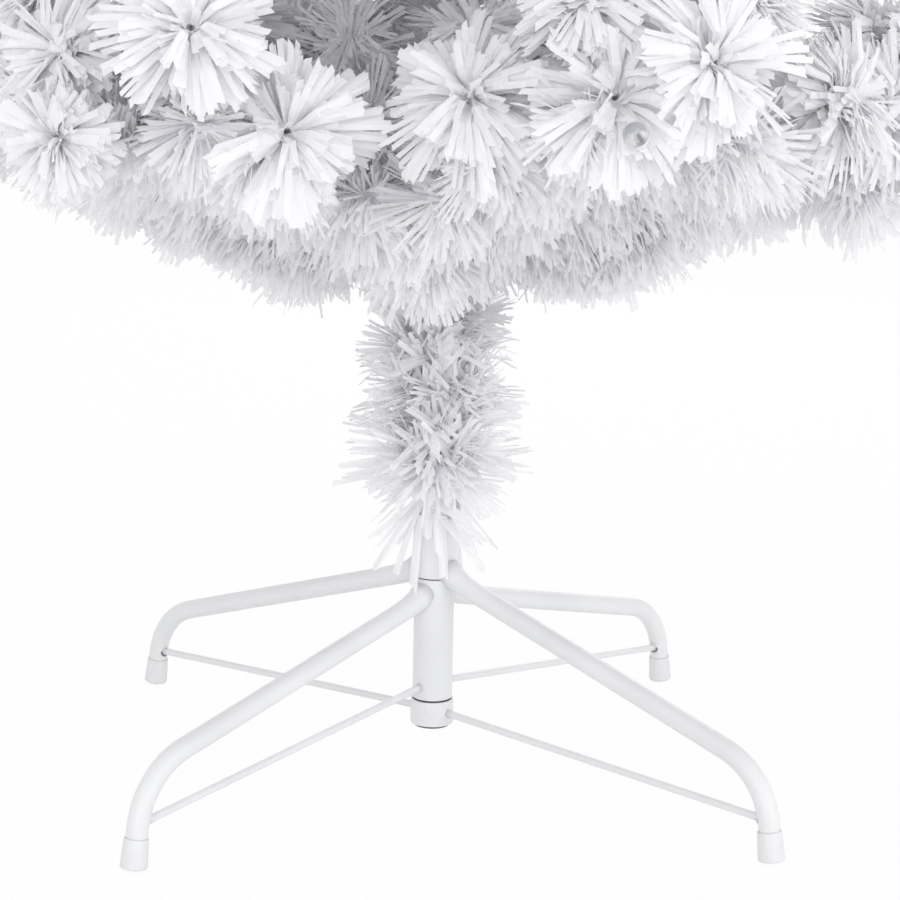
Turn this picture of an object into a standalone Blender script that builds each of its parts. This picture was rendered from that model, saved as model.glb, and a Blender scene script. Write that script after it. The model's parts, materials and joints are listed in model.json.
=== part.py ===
"""Fibre optic Christmas tree on a folding cross-leg stand.

The origin is on the floor under the pole, +Z is up, and the front of the tree is towards -Y.
Lengths are metres and angles are degrees. The stand has two frames of two opposite legs. The
upper frame is fixed to the socket, and the lower frame turns round it, so that the legs fold
together. The pole is in two sections, and every branch hangs on a hinge at a ring on the pole.
"""

import math

import bmesh
import bpy
import numpy as np
from mathutils import Matrix, Vector

# Fits and fineness
GAP = 0.0003                  # clearance between two pieces that touch
OVERRUN = 0.004               # how far a cutter runs past what it cuts
COLLAR_SIDES = 24             # sides of the stand's collars
POLE_SIDES = 16               # sides of the poles, the socket and their bores
LEG_SIDES = 10
BEND_STEPS = 7                # steps round the bend of a leg
BRACE_SIDES = 8
FOOT_SIDES = 16
HINGE_SIDES = 6               # sides of a hinge pin, its holes and a branch wire
BRANCH_SIDES = 6              # sides of a branch core, one petal on each side at its tip
TWIG_SIDES = 4                # sides of a twig, one petal on each side at its tip
SHARP_ANGLE = 35.0            # edges sharper than this stay sharp in the shading

# Poles
POLE_DIAMETER = 0.0248
POLE_WALL = 0.0012
POLE_JOINT_HEIGHT = 0.78      # where the upper pole stands on the lower one
SPIGOT_LENGTH = 0.06          # how far the upper pole reaches into the lower one
POLE_TOP = 1.14

# Socket and collars of the stand, from the floor up
SOCKET_BOTTOM = 0.033
SOCKET_FLOOR = 0.003          # thickness of the plate that the pole stands on
SOCKET_WALL = 0.0012
SOCKET_RIM_DROP = 0.002       # how far the rim of the socket lies below the rim of the collar
RING_LIFT = 0.002             # the bottom ring starts this far above the socket's underside
RING_HEIGHT = 0.0205
RING_WALL = 0.0027
SLEEVE_HEIGHT = 0.1007
SLEEVE_WALL = 0.0014
COLLAR_HEIGHT = 0.049
COLLAR_WALL = 0.0029
RIM_BEVEL = 0.0009

# Legs and feet
LEG_DIAMETER = 0.016
LEG_BEND_RADIUS = 0.058
LEG_LEAN = 8.0                # how far the foot end of a leg leans from upright
FOOT_CIRCLE_RADIUS = 0.325    # from the pole's axis to the middle of a foot
UPPER_FRAME_TURN = 320.0      # where the upper frame's front leg points, from +X towards +Y
UPPER_LEG_SLOPE = 17.2
UPPER_LEG_RISE = 0.0004       # height of the leg's middle above the lower rim of the collar
UPPER_BRACE_END_HEIGHT = 0.031
LOWER_FRAME_TURN = 230.0
LOWER_LEG_SLOPE = 13.2
LOWER_LEG_DROP = 0.0175       # from the top of the sleeve down to the leg's middle
LOWER_BRACE_RISE = 0.011      # from the bottom of the sleeve up to the brace
LOWER_BRACE_END_HEIGHT = 0.033
BRACE_DIAMETER = 0.0058
CAP_HEIGHT = 0.0235
CAP_WALL = 0.0014
CAP_FLARE = 0.0005            # how much wider the foot is at the floor
CAP_FLOOR = 0.004             # from the floor to the end of the leg

# Gland for the supply lead, at the back of the lower pole
GLAND_ABOVE_COLLAR = 0.015
GLAND_HOLE_DIAMETER = 0.0084
GLAND_BORE_DIAMETER = 0.0032
GLAND_FLANGE_WIDTH = 0.0017
GLAND_FLANGE_THICKNESS = 0.0022
GLAND_NECK_LENGTH = 0.003
GLAND_SIDES = 10

# Hinge rings and branch wires
TIER_COUNT = 3
FIRST_TIER_HEIGHT = 0.415
TIER_PITCH = 0.24
ARMS_PER_TIER = 6
TIER_TURN = 20.0              # each tier is turned this far from the one below
FIRST_ARM_TURN = 293.0        # where the lowest tier's first arm points, from +X towards +Y
ARM_INCLINE = 20.0
HINGE_RING_HEIGHT = 0.012
HINGE_RING_WALL = 0.0031
PIVOT_STANDOFF = 0.0086       # from the pole's surface out to the hinge pin
CHEEK_THICKNESS = 0.0022
CHEEK_REACH = 0.004           # how far a cheek reaches past the pin
KNUCKLE_WIDTH = 0.005
KNUCKLE_DIAMETER = 0.0072
PIN_DIAMETER = 0.003
PIN_SHORT = 0.0002            # the pin ends this far inside the outer face of a cheek
WIRE_DIAMETER = 0.0052
WIRE_TIP_DIAMETER = 0.003
WIRE_STOP_SHORT = 0.07        # the wire ends this far before the outermost petal

# Branches
TIER_REACH = 0.44             # from the pole's axis to the end of the lowest tier's branches
TIER_REACH_STEP = 0.085       # how much less the next tier reaches
CORE_START = 0.016            # from the hinge pin to the start of the foliage
CORE_RADIUS = 0.020           # the wound fibres and needles round a branch wire
CORE_END_RADIUS = 0.011
TWIG_RADIUS = 0.0095
BURST_RADIUS = 0.066          # from a twig's line to the end of a petal at the lowest tips
BURST_STEP = 0.005            # how much smaller the tips of the next tier are
PETAL_END_WIDTH = 0.024
PETAL_END_THICKNESS = 0.0024
BORE_SIDES = 6

# Shape of the tuft at a tip, as shares of its own radius
KNOB_RADIUS_SHARE = 0.40
KNOB_THICKNESS_SHARE = 0.17
KNOB_BACK_SHARE = 0.42        # where the tuft starts to widen, behind its middle
KNOB_FRONT_SHARE = 0.30       # how far the tuft's round front stands before its middle
PETAL_REACH_SHARE = 0.92
PETAL_FORWARD_SHARES = (0.34, 0.16)   # how far forward every other petal leans

# Side twigs of a branch: root, then tip along, beside and above the wire, as shares of the
# branch's length, and the tuft's radius as a share of the tier's own
LATERAL_TWIG_SHARES = (0.46, 0.72, 0.25, 0.04, 0.85)
UPPER_TWIG_SHARES = (0.22, 0.47, 0.12, 0.25, 0.76)
TOP_TIER_TWIG_SHARES = (0.30, 0.50, 0, 0.26, 0.85)    # the top tier has one twig above the wire

# Crown, the fixed top of the tree
CROWN_TOP = 1.50
CROWN_LAP = 0.035             # how far the crown reaches down over the pole
CROWN_SEAT_WALL = 0.0045
CROWN_CORE_RADIUS = 0.013
CROWN_BURST_RADIUS = 0.056
CROWN_TIP_SHARE = 0.85        # radius of a side tuft, as a share of the crown's top tuft
LOWER_WHORL_COUNT = 6
LOWER_WHORL_REACH = 0.125     # from the pole's axis to the middle of a tuft
UPPER_WHORL_COUNT = 4
UPPER_WHORL_REACH = 0.075
# Root of a whorl above the pole's top, and its tufts above that root, as shares of the
# height from the pole's top to the crown's top
LOWER_WHORL_SHARES = (0.0417, 0.139)
UPPER_WHORL_SHARES = (0.375, 0.167)

# Garland round the lower pole
GARLAND_ABOVE_COLLAR = 0.0302
GARLAND_BELOW_TIER = 0.03     # from the middle of the lowest hinge ring down to the garland
GARLAND_CORE_RADIUS = 0.024
GARLAND_RADIUS = 0.064
GARLAND_SIDES = 12
GARLAND_ROWS = 5              # rows of hanging strips
GARLAND_STRIP_HEIGHT = 0.011  # height of a strip where it leaves the core
GARLAND_STRIP_WIDTH = 0.011
GARLAND_STRIP_THICKNESS = 0.002
GARLAND_DROOP = 0.022
GARLAND_HANG = 0.024          # how much lower the bottom row hangs

# Sizes that follow from those above
POLE_RADIUS = POLE_DIAMETER / 2
LEG_RADIUS = LEG_DIAMETER / 2
SOCKET_BORE = (POLE_RADIUS + GAP) / math.cos(math.pi / POLE_SIDES)
SOCKET_RADIUS = SOCKET_BORE + SOCKET_WALL
COLLAR_BORE = (SOCKET_RADIUS + GAP) / math.cos(math.pi / COLLAR_SIDES)
RING_BOTTOM = SOCKET_BOTTOM + RING_LIFT
RING_TOP = RING_BOTTOM + RING_HEIGHT
SLEEVE_BOTTOM = RING_TOP + GAP
SLEEVE_TOP = SLEEVE_BOTTOM + SLEEVE_HEIGHT
COLLAR_BOTTOM = SLEEVE_TOP + GAP
COLLAR_TOP = COLLAR_BOTTOM + COLLAR_HEIGHT
POLE_BOTTOM = SOCKET_BOTTOM + SOCKET_FLOOR + GAP
PIVOT_RADIUS = POLE_RADIUS + PIVOT_STANDOFF
GARLAND_BOTTOM = COLLAR_TOP + GARLAND_ABOVE_COLLAR
GARLAND_TOP = FIRST_TIER_HEIGHT - GARLAND_BELOW_TIER


def finish(name, colour, roughness, metallic=0.0):
    """Make a Principled BSDF material from a colour, a roughness and a metallic value."""
    material = bpy.data.materials.new(name)
    material.use_nodes = True
    shader = material.node_tree.nodes["Principled BSDF"]
    shader.inputs["Base Color"].default_value = (*colour, 1.0)
    shader.inputs["Roughness"].default_value = roughness
    shader.inputs["Metallic"].default_value = metallic
    return material


def turned(profile, sides, loop=False, phase=0.0):
    """Turn (radius, height) points about Z. Give the bmesh and each stretch's row of faces."""
    bm = bmesh.new()
    angles = [math.radians(phase) + math.tau * n / sides for n in range(sides)]
    rings = []
    for radius, height in profile:
        if radius == 0:
            rings.append([bm.verts.new((0, 0, height))])
        else:
            circle = [(radius * math.cos(a), radius * math.sin(a), height) for a in angles]
            rings.append([bm.verts.new(point) for point in circle])
    stretches = list(zip(rings, rings[1:] + rings[:1]))
    if not loop:
        stretches.pop()
    rows = []
    for low, high in stretches:
        row = []
        for n in range(sides):
            here, after = n, n + 1
            corners = (low[here % len(low)], low[after % len(low)],
                       high[after % len(high)], high[here % len(high)])
            row.append(bm.faces.new(dict.fromkeys(corners)))
        rows.append(row)
    bmesh.ops.recalc_face_normals(bm, faces=bm.faces)
    bm.normal_update()
    return bm, rows


def swept(points, radius, sides, end_radius=None):
    """Carry a circle along (distance out, height) points, from one radius to another."""
    path = [Vector((out, 0, height)) for out, height in points]
    radii = np.linspace(radius, radius if end_radius is None else end_radius, len(path))
    across = Vector((0, 1, 0))
    bm = bmesh.new()
    rings = []
    for n, (point, size) in enumerate(zip(path, radii)):
        tangent = (path[min(n + 1, len(path) - 1)] - path[max(n - 1, 0)]).normalized()
        over = across.cross(tangent)
        angles = [math.tau * k / sides for k in range(sides)]
        rings.append([bm.verts.new(point + (across * math.cos(a) + over * math.sin(a)) * size)
                      for a in angles])
    for low, high in zip(rings, rings[1:]):
        for n in range(sides):
            after = (n + 1) % sides
            bm.faces.new((low[n], low[after], high[after], high[n]))
    bm.faces.new(rings[0])
    bm.faces.new(rings[-1])
    bmesh.ops.recalc_face_normals(bm, faces=bm.faces)
    return bm


def mesh_of(name, bm, matrix=None):
    """Write a bmesh into a mesh, moved by the matrix where one is given."""
    if matrix is not None:
        bm.transform(matrix)
    mesh = bpy.data.meshes.new(name)
    bm.to_mesh(mesh)
    bm.free()
    return mesh


def combined(name, base, tools):
    """Join meshes to a base mesh or cut them out of it, and give the mesh that results."""
    holder = bpy.data.objects.new(name, base)
    bpy.context.collection.objects.link(holder)
    helpers = []
    for operation, tool_mesh in tools:
        helper = bpy.data.objects.new(f"{name}_{operation.lower()}_{len(helpers)}", tool_mesh)
        helper.hide_render = True
        helper.display_type = "WIRE"
        bpy.context.collection.objects.link(helper)
        helpers.append(helper)
        modifier = holder.modifiers.new(helper.name, "BOOLEAN")
        modifier.operation = operation
        modifier.object = helper
    graph = bpy.context.evaluated_depsgraph_get()
    mesh = bpy.data.meshes.new_from_object(holder.evaluated_get(graph))
    mesh.name = name
    for helper in [holder, *helpers]:
        bpy.data.objects.remove(helper)
    return mesh


def place(name, mesh, material, location=(0, 0, 0), rotation=(0, 0, 0), parent=None):
    """Make the named object from a mesh, with its material and smooth round sides."""
    mesh.materials.clear()
    mesh.materials.append(material)
    mesh.shade_smooth()
    mesh.set_sharp_from_angle(angle=math.radians(SHARP_ANGLE))
    piece = bpy.data.objects.new(name, mesh)
    piece.location = location
    piece.rotation_euler = rotation
    piece.parent = parent
    bpy.context.collection.objects.link(piece)
    return piece


def pivot(name, parent=None):
    """Make an empty on the pole's axis for pieces that move together."""
    empty = bpy.data.objects.new(name, None)
    empty.parent = parent
    bpy.context.collection.objects.link(empty)
    return empty


def collar_mesh(name, bottom, top, wall):
    """A turned collar round the socket, with its outer edges broken."""
    outer = COLLAR_BORE + wall
    profile = [
        (COLLAR_BORE, bottom), (outer - RIM_BEVEL, bottom), (outer, bottom + RIM_BEVEL),
        (outer, top - RIM_BEVEL), (outer - RIM_BEVEL, top), (COLLAR_BORE, top),
    ]
    bm, _ = turned(profile, COLLAR_SIDES, loop=True)
    return mesh_of(name, bm)


def socket_mesh():
    """The tube with a closed bottom that the pole stands in."""
    rim = COLLAR_TOP - SOCKET_RIM_DROP
    floor = SOCKET_BOTTOM + SOCKET_FLOOR
    profile = [
        (0, SOCKET_BOTTOM), (SOCKET_RADIUS, SOCKET_BOTTOM), (SOCKET_RADIUS, rim),
        (SOCKET_BORE, rim), (SOCKET_BORE, floor), (0, floor),
    ]
    bm, _ = turned(profile, POLE_SIDES)
    return mesh_of("socket_tube", bm)


def leg_path(hub_radius, hub_height, slope):
    """Centreline of a leg as (distance out, height): sloping down, then bent to the floor."""
    slope, lean = math.radians(slope), math.radians(LEG_LEAN)
    outward = Vector((math.cos(slope), -math.sin(slope)))
    downward = Vector((math.sin(lean), -math.cos(lean)))
    hub = Vector((hub_radius, hub_height))
    foot = Vector((FOOT_CIRCLE_RADIUS, 0))
    span = foot - hub
    run = (span.x * downward.y - span.y * downward.x) / (
        outward.x * downward.y - outward.y * downward.x)
    turn = outward.angle(downward)
    start = hub + outward * (run - LEG_BEND_RADIUS * math.tan(turn / 2))
    centre = start + Vector((outward.y, -outward.x)) * LEG_BEND_RADIUS
    points = [hub - outward * (hub_radius - POLE_RADIUS / 2)]
    for step in range(BEND_STEPS + 1):
        spoke = (start - centre).copy()
        spoke.rotate(Matrix.Rotation(-turn * step / BEND_STEPS, 2))
        points.append(centre + spoke)
    points.append(foot - downward * CAP_FLOOR)
    return points


def hub_cutter(hub_radius, height, reach):
    """A cylinder a clearance wider than the hub, for the hub ends of legs and braces."""
    radius = (hub_radius + GAP) / math.cos(math.pi / COLLAR_SIDES)
    bm, _ = turned([(0, height - reach), (radius, height - reach),
                    (radius, height + reach), (0, height + reach)], COLLAR_SIDES)
    return mesh_of("hub_cutter", bm)


def leg_mesh(name, hub_radius, hub_height, slope):
    """A bent leg tube whose inner end fits round the hub."""
    bm = swept(leg_path(hub_radius, hub_height, slope), LEG_RADIUS, LEG_SIDES)
    cutter = hub_cutter(hub_radius, hub_height, LEG_DIAMETER + OVERRUN)
    return combined(name, mesh_of(name, bm), [("DIFFERENCE", cutter)])


def brace_mesh(name, hub_radius, height, end_height, path):
    """A straight rod from the hub to the inner side of the leg's foot end."""
    falling = [(point.y, point.x) for point in reversed(path)]
    end_out = float(np.interp(end_height, [p[0] for p in falling], [p[1] for p in falling]))
    rod = swept([(POLE_RADIUS / 2, height), (end_out, end_height)],
                BRACE_DIAMETER / 2, BRACE_SIDES)
    leg = swept(path, LEG_RADIUS + GAP, LEG_SIDES)
    return combined(name, mesh_of(name, rod), [
        ("DIFFERENCE", hub_cutter(hub_radius, height, BRACE_DIAMETER + OVERRUN)),
        ("DIFFERENCE", mesh_of("leg_cutter", leg)),
    ])


def foot_mesh():
    """A cap over the leg's end, flat on the floor though the leg leans."""
    bore = (LEG_RADIUS + GAP) / math.cos(math.pi / FOOT_SIDES)
    outer = bore + CAP_WALL
    seat = CAP_FLOOR - GAP
    profile = [(0, 0), (outer + CAP_FLARE, 0), (outer, CAP_HEIGHT),
               (bore, CAP_HEIGHT), (bore, seat), (0, seat)]
    bm, rows = turned(profile, FOOT_SIDES)
    sole = {vert for face in rows[0] for vert in face.verts}
    lean = Matrix.Rotation(-math.radians(LEG_LEAN), 4, "Y")
    bm.transform(Matrix.Translation((FOOT_CIRCLE_RADIUS, 0, 0)) @ lean)
    axis = lean @ Vector((0, 0, 1))
    for vert in sole:
        vert.co -= axis * (vert.co.z / axis.z)
    return mesh_of("foot_cap", bm)


def lower_pole_mesh():
    """The lower pole tube, with the hole for the gland at its back."""
    bore = POLE_RADIUS - POLE_WALL
    bm, _ = turned([(bore, POLE_BOTTOM), (POLE_RADIUS, POLE_BOTTOM),
                    (POLE_RADIUS, POLE_JOINT_HEIGHT), (bore, POLE_JOINT_HEIGHT)],
                   POLE_SIDES, loop=True)
    hole = (GLAND_HOLE_DIAMETER / 2) / math.cos(math.pi / GLAND_SIDES)
    drill, _ = turned([(0, 0), (hole, 0), (hole, POLE_DIAMETER), (0, POLE_DIAMETER)],
                      GLAND_SIDES)
    cutter = mesh_of("gland_drill", drill, gland_place())
    return combined("pole_lower", mesh_of("pole_lower", bm), [("DIFFERENCE", cutter)])


def gland_place():
    """From the gland's own frame, Z out of the pole, to its place at the pole's back."""
    height = COLLAR_TOP + GLAND_ABOVE_COLLAR
    return Matrix.Translation((0, 0, height)) @ Matrix.Rotation(-math.pi / 2, 4, "X")


def gland_mesh():
    """A rubber bush: a neck in the pole's wall, a flange outside it and a bore for the lead."""
    neck = GLAND_HOLE_DIAMETER / 2 - GAP
    flange = neck + GLAND_FLANGE_WIDTH
    bore = GLAND_BORE_DIAMETER / 2
    seat = POLE_RADIUS + GAP
    face = seat + GLAND_FLANGE_THICKNESS
    bm, _ = turned([(bore, seat - GLAND_NECK_LENGTH), (neck, seat - GLAND_NECK_LENGTH),
                    (neck, seat), (flange, seat), (flange - RIM_BEVEL, face), (bore, face)],
                   GLAND_SIDES, loop=True)
    return mesh_of("cable_gland", bm, gland_place())


def upper_pole_mesh():
    """The upper pole tube, whose narrowed lower end goes into the lower pole."""
    spigot = POLE_RADIUS - POLE_WALL - GAP / math.cos(math.pi / POLE_SIDES)
    bore = spigot - POLE_WALL
    shoulder = POLE_JOINT_HEIGHT + GAP
    profile = [(bore, shoulder - SPIGOT_LENGTH), (spigot, shoulder - SPIGOT_LENGTH),
               (spigot, shoulder), (POLE_RADIUS, shoulder), (POLE_RADIUS, POLE_TOP),
               (bore, POLE_TOP)]
    bm, _ = turned(profile, POLE_SIDES, loop=True)
    return mesh_of("pole_upper", bm)


def hinge_ring_outline():
    """Outline of a hinge ring seen from above: a round band with a pair of cheeks per arm."""
    band = (POLE_RADIUS + GAP) / math.cos(math.pi / POLE_SIDES) + HINGE_RING_WALL
    slot = KNUCKLE_WIDTH / 2 + GAP
    side = slot + CHEEK_THICKNESS
    end = PIVOT_RADIUS + CHEEK_REACH
    foot = math.sqrt(band ** 2 - side ** 2)
    floor = math.sqrt(band ** 2 - slot ** 2)
    corners = [(foot, -side), (end, -side), (end, -slot), (floor, -slot),
               (floor, slot), (end, slot), (end, side), (foot, side)]
    points = []
    for arm in range(ARMS_PER_TIER):
        turn = Matrix.Rotation(math.tau * arm / ARMS_PER_TIER, 3, "Z")
        half = Matrix.Rotation(math.pi / ARMS_PER_TIER, 3, "Z")
        points += [turn @ Vector((*corner, 0)) for corner in corners]
        points.append(turn @ half @ Vector((band, 0, 0)))
    return points


def hinge_ring_mesh():
    """A ring on the pole with a forked bracket for each branch, drilled for the pins."""
    bm = bmesh.new()
    outline = [bm.verts.new(point) for point in hinge_ring_outline()]
    face = bm.faces.new(outline)
    raised = bmesh.ops.extrude_face_region(bm, geom=[face])["geom"]
    lift = Vector((0, 0, HINGE_RING_HEIGHT))
    bmesh.ops.translate(bm, vec=lift,
                        verts=[item for item in raised if isinstance(item, bmesh.types.BMVert)])
    bmesh.ops.recalc_face_normals(bm, faces=bm.faces)
    base = mesh_of("hinge_ring", bm, Matrix.Translation(-lift / 2))
    bore = (POLE_RADIUS + GAP) / math.cos(math.pi / POLE_SIDES)
    half = HINGE_RING_HEIGHT / 2 + OVERRUN
    drill, _ = turned([(0, -half), (bore, -half), (bore, half), (0, half)], POLE_SIDES)
    tools = [("DIFFERENCE", mesh_of("pole_drill", drill))]
    hole = (PIN_DIAMETER / 2 + GAP) / math.cos(math.pi / HINGE_SIDES)
    reach = KNUCKLE_WIDTH / 2 + GAP + CHEEK_THICKNESS + GAP
    for arm in range(ARMS_PER_TIER):
        drill, _ = turned([(0, -reach), (hole, -reach), (hole, reach), (0, reach)], HINGE_SIDES)
        turn = Matrix.Rotation(math.tau * arm / ARMS_PER_TIER, 4, "Z")
        lay = Matrix.Translation((PIVOT_RADIUS, 0, 0)) @ Matrix.Rotation(math.pi / 2, 4, "X")
        tools.append(("DIFFERENCE", mesh_of("pin_drill", drill, turn @ lay)))
    return combined("hinge_ring", base, tools)


def arm_length(tier):
    """From the hinge pin to the outermost petal, along the branch."""
    reach = TIER_REACH - tier * TIER_REACH_STEP
    return (reach - PIVOT_RADIUS) / math.cos(math.radians(ARM_INCLINE))


def wire_mesh(tier):
    """A branch wire along +X, with a knuckle and two stub pins across its hinge."""
    knuckle, pin = KNUCKLE_DIAMETER / 2, PIN_DIAMETER / 2
    half = KNUCKLE_WIDTH / 2
    end = half + GAP + CHEEK_THICKNESS - PIN_SHORT
    profile = [(0, -end), (pin, -end), (pin, -half), (knuckle, -half),
               (knuckle, half), (pin, half), (pin, end), (0, end)]
    hinge, _ = turned(profile, HINGE_SIDES)
    rod = swept([(0, 0), (arm_length(tier) - WIRE_STOP_SHORT, 0)],
                WIRE_DIAMETER / 2, HINGE_SIDES, WIRE_TIP_DIAMETER / 2)
    base = mesh_of("branch_wire", hinge, Matrix.Rotation(math.pi / 2, 4, "X"))
    return combined(f"branch_wire_{tier}", base, [("UNION", mesh_of("wire_rod", rod))])


def draw_strand(bm, face, along, tip, width, thickness):
    """Draw a flat strand out of a face, with its blunt end centred on the tip."""
    middle = face.calc_center_median()
    across = along.cross(face.normal).normalized()
    over = across.cross((tip - middle).normalized())
    if over.dot(along) < 0:
        over.negate()
    drawn = bmesh.ops.extrude_discrete_faces(bm, faces=[face])["faces"][0]
    for vert in drawn.verts:
        side = math.copysign(width / 2, (vert.co - middle).dot(across))
        lift = math.copysign(thickness / 2, (vert.co - middle).dot(along))
        vert.co = tip + across * side + over * lift


def tuft(stem, reach, burst, sides, phase):
    """A stem along +Z, given as (radius, height) points, that ends in a tuft of petals.

    The tuft widens from the stem to a knob whose middle is at the reach, has one petal on
    each side of the knob, and ends in a low point.
    """
    knob = burst * KNOB_RADIUS_SHARE
    half = burst * KNOB_THICKNESS_SHARE / 2
    profile = [*stem, (knob, reach - half), (knob, reach + half),
               (0, reach + burst * KNOB_FRONT_SHARE)]
    bm, rows = turned(profile, sides, phase=phase)
    up = Vector((0, 0, 1))
    for n, face in enumerate(rows[-2]):
        outward = face.normal.copy()
        forward = PETAL_FORWARD_SHARES[n % len(PETAL_FORWARD_SHARES)]
        tip = outward * burst * PETAL_REACH_SHARE + up * (reach + burst * forward)
        draw_strand(bm, face, up, tip, PETAL_END_WIDTH, PETAL_END_THICKNESS)
    return bm


def twig_mesh(root, tip, burst):
    """A side twig from a root point to the middle of its tuft."""
    root, tip = Vector(root), Vector(tip)
    length = (tip - root).length
    stem = [(0, 0), (TWIG_RADIUS, 0), (TWIG_RADIUS, length - burst * KNOB_BACK_SHARE)]
    bm = tuft(stem, length, burst, TWIG_SIDES, 0)
    aim = (tip - root).to_track_quat("Z", "Y").to_matrix().to_4x4()
    return mesh_of("twig", bm, Matrix.Translation(root) @ aim)


def side_twigs(tier, length, burst):
    """The twigs of a branch: a pair at its sides, and a pair or one twig above it."""
    kinds = [(hand, LATERAL_TWIG_SHARES) for hand in (-1, 1)]
    if tier < TIER_COUNT - 1:
        kinds += [(hand, UPPER_TWIG_SHARES) for hand in (-1, 1)]
    else:
        kinds.append((1, TOP_TIER_TWIG_SHARES))
    twigs = []
    for hand, (root, along, beside, above, size) in kinds:
        tip = (along * length, hand * beside * length, above * length)
        twigs.append(twig_mesh((root * length, 0, 0), tip, size * burst))
    return twigs


def foliage_mesh(tier):
    """The foliage of a branch along +X: core, tip tuft and twigs, bored for its wire."""
    length = arm_length(tier)
    burst = BURST_RADIUS - tier * BURST_STEP
    reach = length - burst * max(PETAL_FORWARD_SHARES)
    back = reach - burst * KNOB_BACK_SHARE
    stem = [(0, CORE_START), (CORE_END_RADIUS, CORE_START),
            (CORE_RADIUS, 2 * CORE_START + CORE_RADIUS), (CORE_END_RADIUS, back)]
    bm = tuft(stem, reach, burst, BRANCH_SIDES, 0)
    core = mesh_of("branch_core", bm, Matrix.Rotation(math.pi / 2, 4, "Y"))
    tools = [("UNION", twig) for twig in side_twigs(tier, length, burst)]
    bore = (WIRE_DIAMETER / 2 + GAP) / math.cos(math.pi / BORE_SIDES)
    drill = swept([(CORE_START - OVERRUN, 0), (length - WIRE_STOP_SHORT + GAP, 0)],
                  bore, BORE_SIDES)
    tools.append(("DIFFERENCE", mesh_of("wire_drill", drill)))
    return combined(f"branch_foliage_{tier}", core, tools)


def crown_mesh():
    """The fixed top of the tree: a seat over the pole, two whorls of twigs and a top tuft."""
    seat_bore = (POLE_RADIUS + GAP) / math.cos(math.pi / POLE_SIDES)
    seat = seat_bore + CROWN_SEAT_WALL
    bottom = POLE_TOP - CROWN_LAP
    burst = CROWN_BURST_RADIUS
    reach = CROWN_TOP - burst * max(PETAL_FORWARD_SHARES)
    back = reach - burst * KNOB_BACK_SHARE
    stem = [(0, bottom), (seat, bottom), (seat, POLE_TOP + CROWN_SEAT_WALL),
            (CROWN_CORE_RADIUS, POLE_TOP + CROWN_LAP), (CORE_END_RADIUS, back)]
    base = mesh_of("crown", tuft(stem, reach, burst, BRANCH_SIDES, 0))
    tools = []
    height = CROWN_TOP - POLE_TOP
    whorls = ((LOWER_WHORL_COUNT, LOWER_WHORL_REACH, LOWER_WHORL_SHARES),
              (UPPER_WHORL_COUNT, UPPER_WHORL_REACH, UPPER_WHORL_SHARES))
    for count, out, (rise, lift) in whorls:
        root = POLE_TOP + rise * height
        for n in range(count):
            angle = math.radians(FIRST_ARM_TURN) + math.tau * n / count
            tip = (out * math.cos(angle), out * math.sin(angle), root + lift * height)
            twig = twig_mesh((0, 0, root), tip, burst * CROWN_TIP_SHARE)
            tools.append(("UNION", twig))
    drill, _ = turned([(0, bottom - OVERRUN), (seat_bore, bottom - OVERRUN),
                       (seat_bore, POLE_TOP + GAP), (0, POLE_TOP + GAP)], POLE_SIDES)
    tools.append(("DIFFERENCE", mesh_of("pole_drill", drill)))
    return combined("crown_foliage", base, tools)


def garland_mesh():
    """A sleeve round the lower pole with rows of strips that stand out and droop."""
    bore = (POLE_RADIUS + GAP) / math.cos(math.pi / GARLAND_SIDES)
    pitch = (GARLAND_TOP - GARLAND_BOTTOM) / GARLAND_ROWS
    profile = [(bore, GARLAND_BOTTOM)]
    for row in range(GARLAND_ROWS):
        foot = GARLAND_BOTTOM + row * pitch
        profile += [(GARLAND_CORE_RADIUS, foot), (GARLAND_CORE_RADIUS, foot + GARLAND_STRIP_HEIGHT)]
    profile += [(GARLAND_CORE_RADIUS, GARLAND_TOP), (bore, GARLAND_TOP)]
    bm, rows = turned(profile, GARLAND_SIDES, loop=True)
    up = Vector((0, 0, 1))
    for row, faces in enumerate(rows[1:-2:2]):
        droop = GARLAND_DROOP if row else GARLAND_DROOP + GARLAND_HANG
        for face in faces:
            outward = face.normal.copy()
            height = face.calc_center_median().z - droop
            draw_strand(bm, face, up, outward * GARLAND_RADIUS + up * height,
                        GARLAND_STRIP_WIDTH, GARLAND_STRIP_THICKNESS)
    return mesh_of("trunk_garland", bm)


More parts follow.
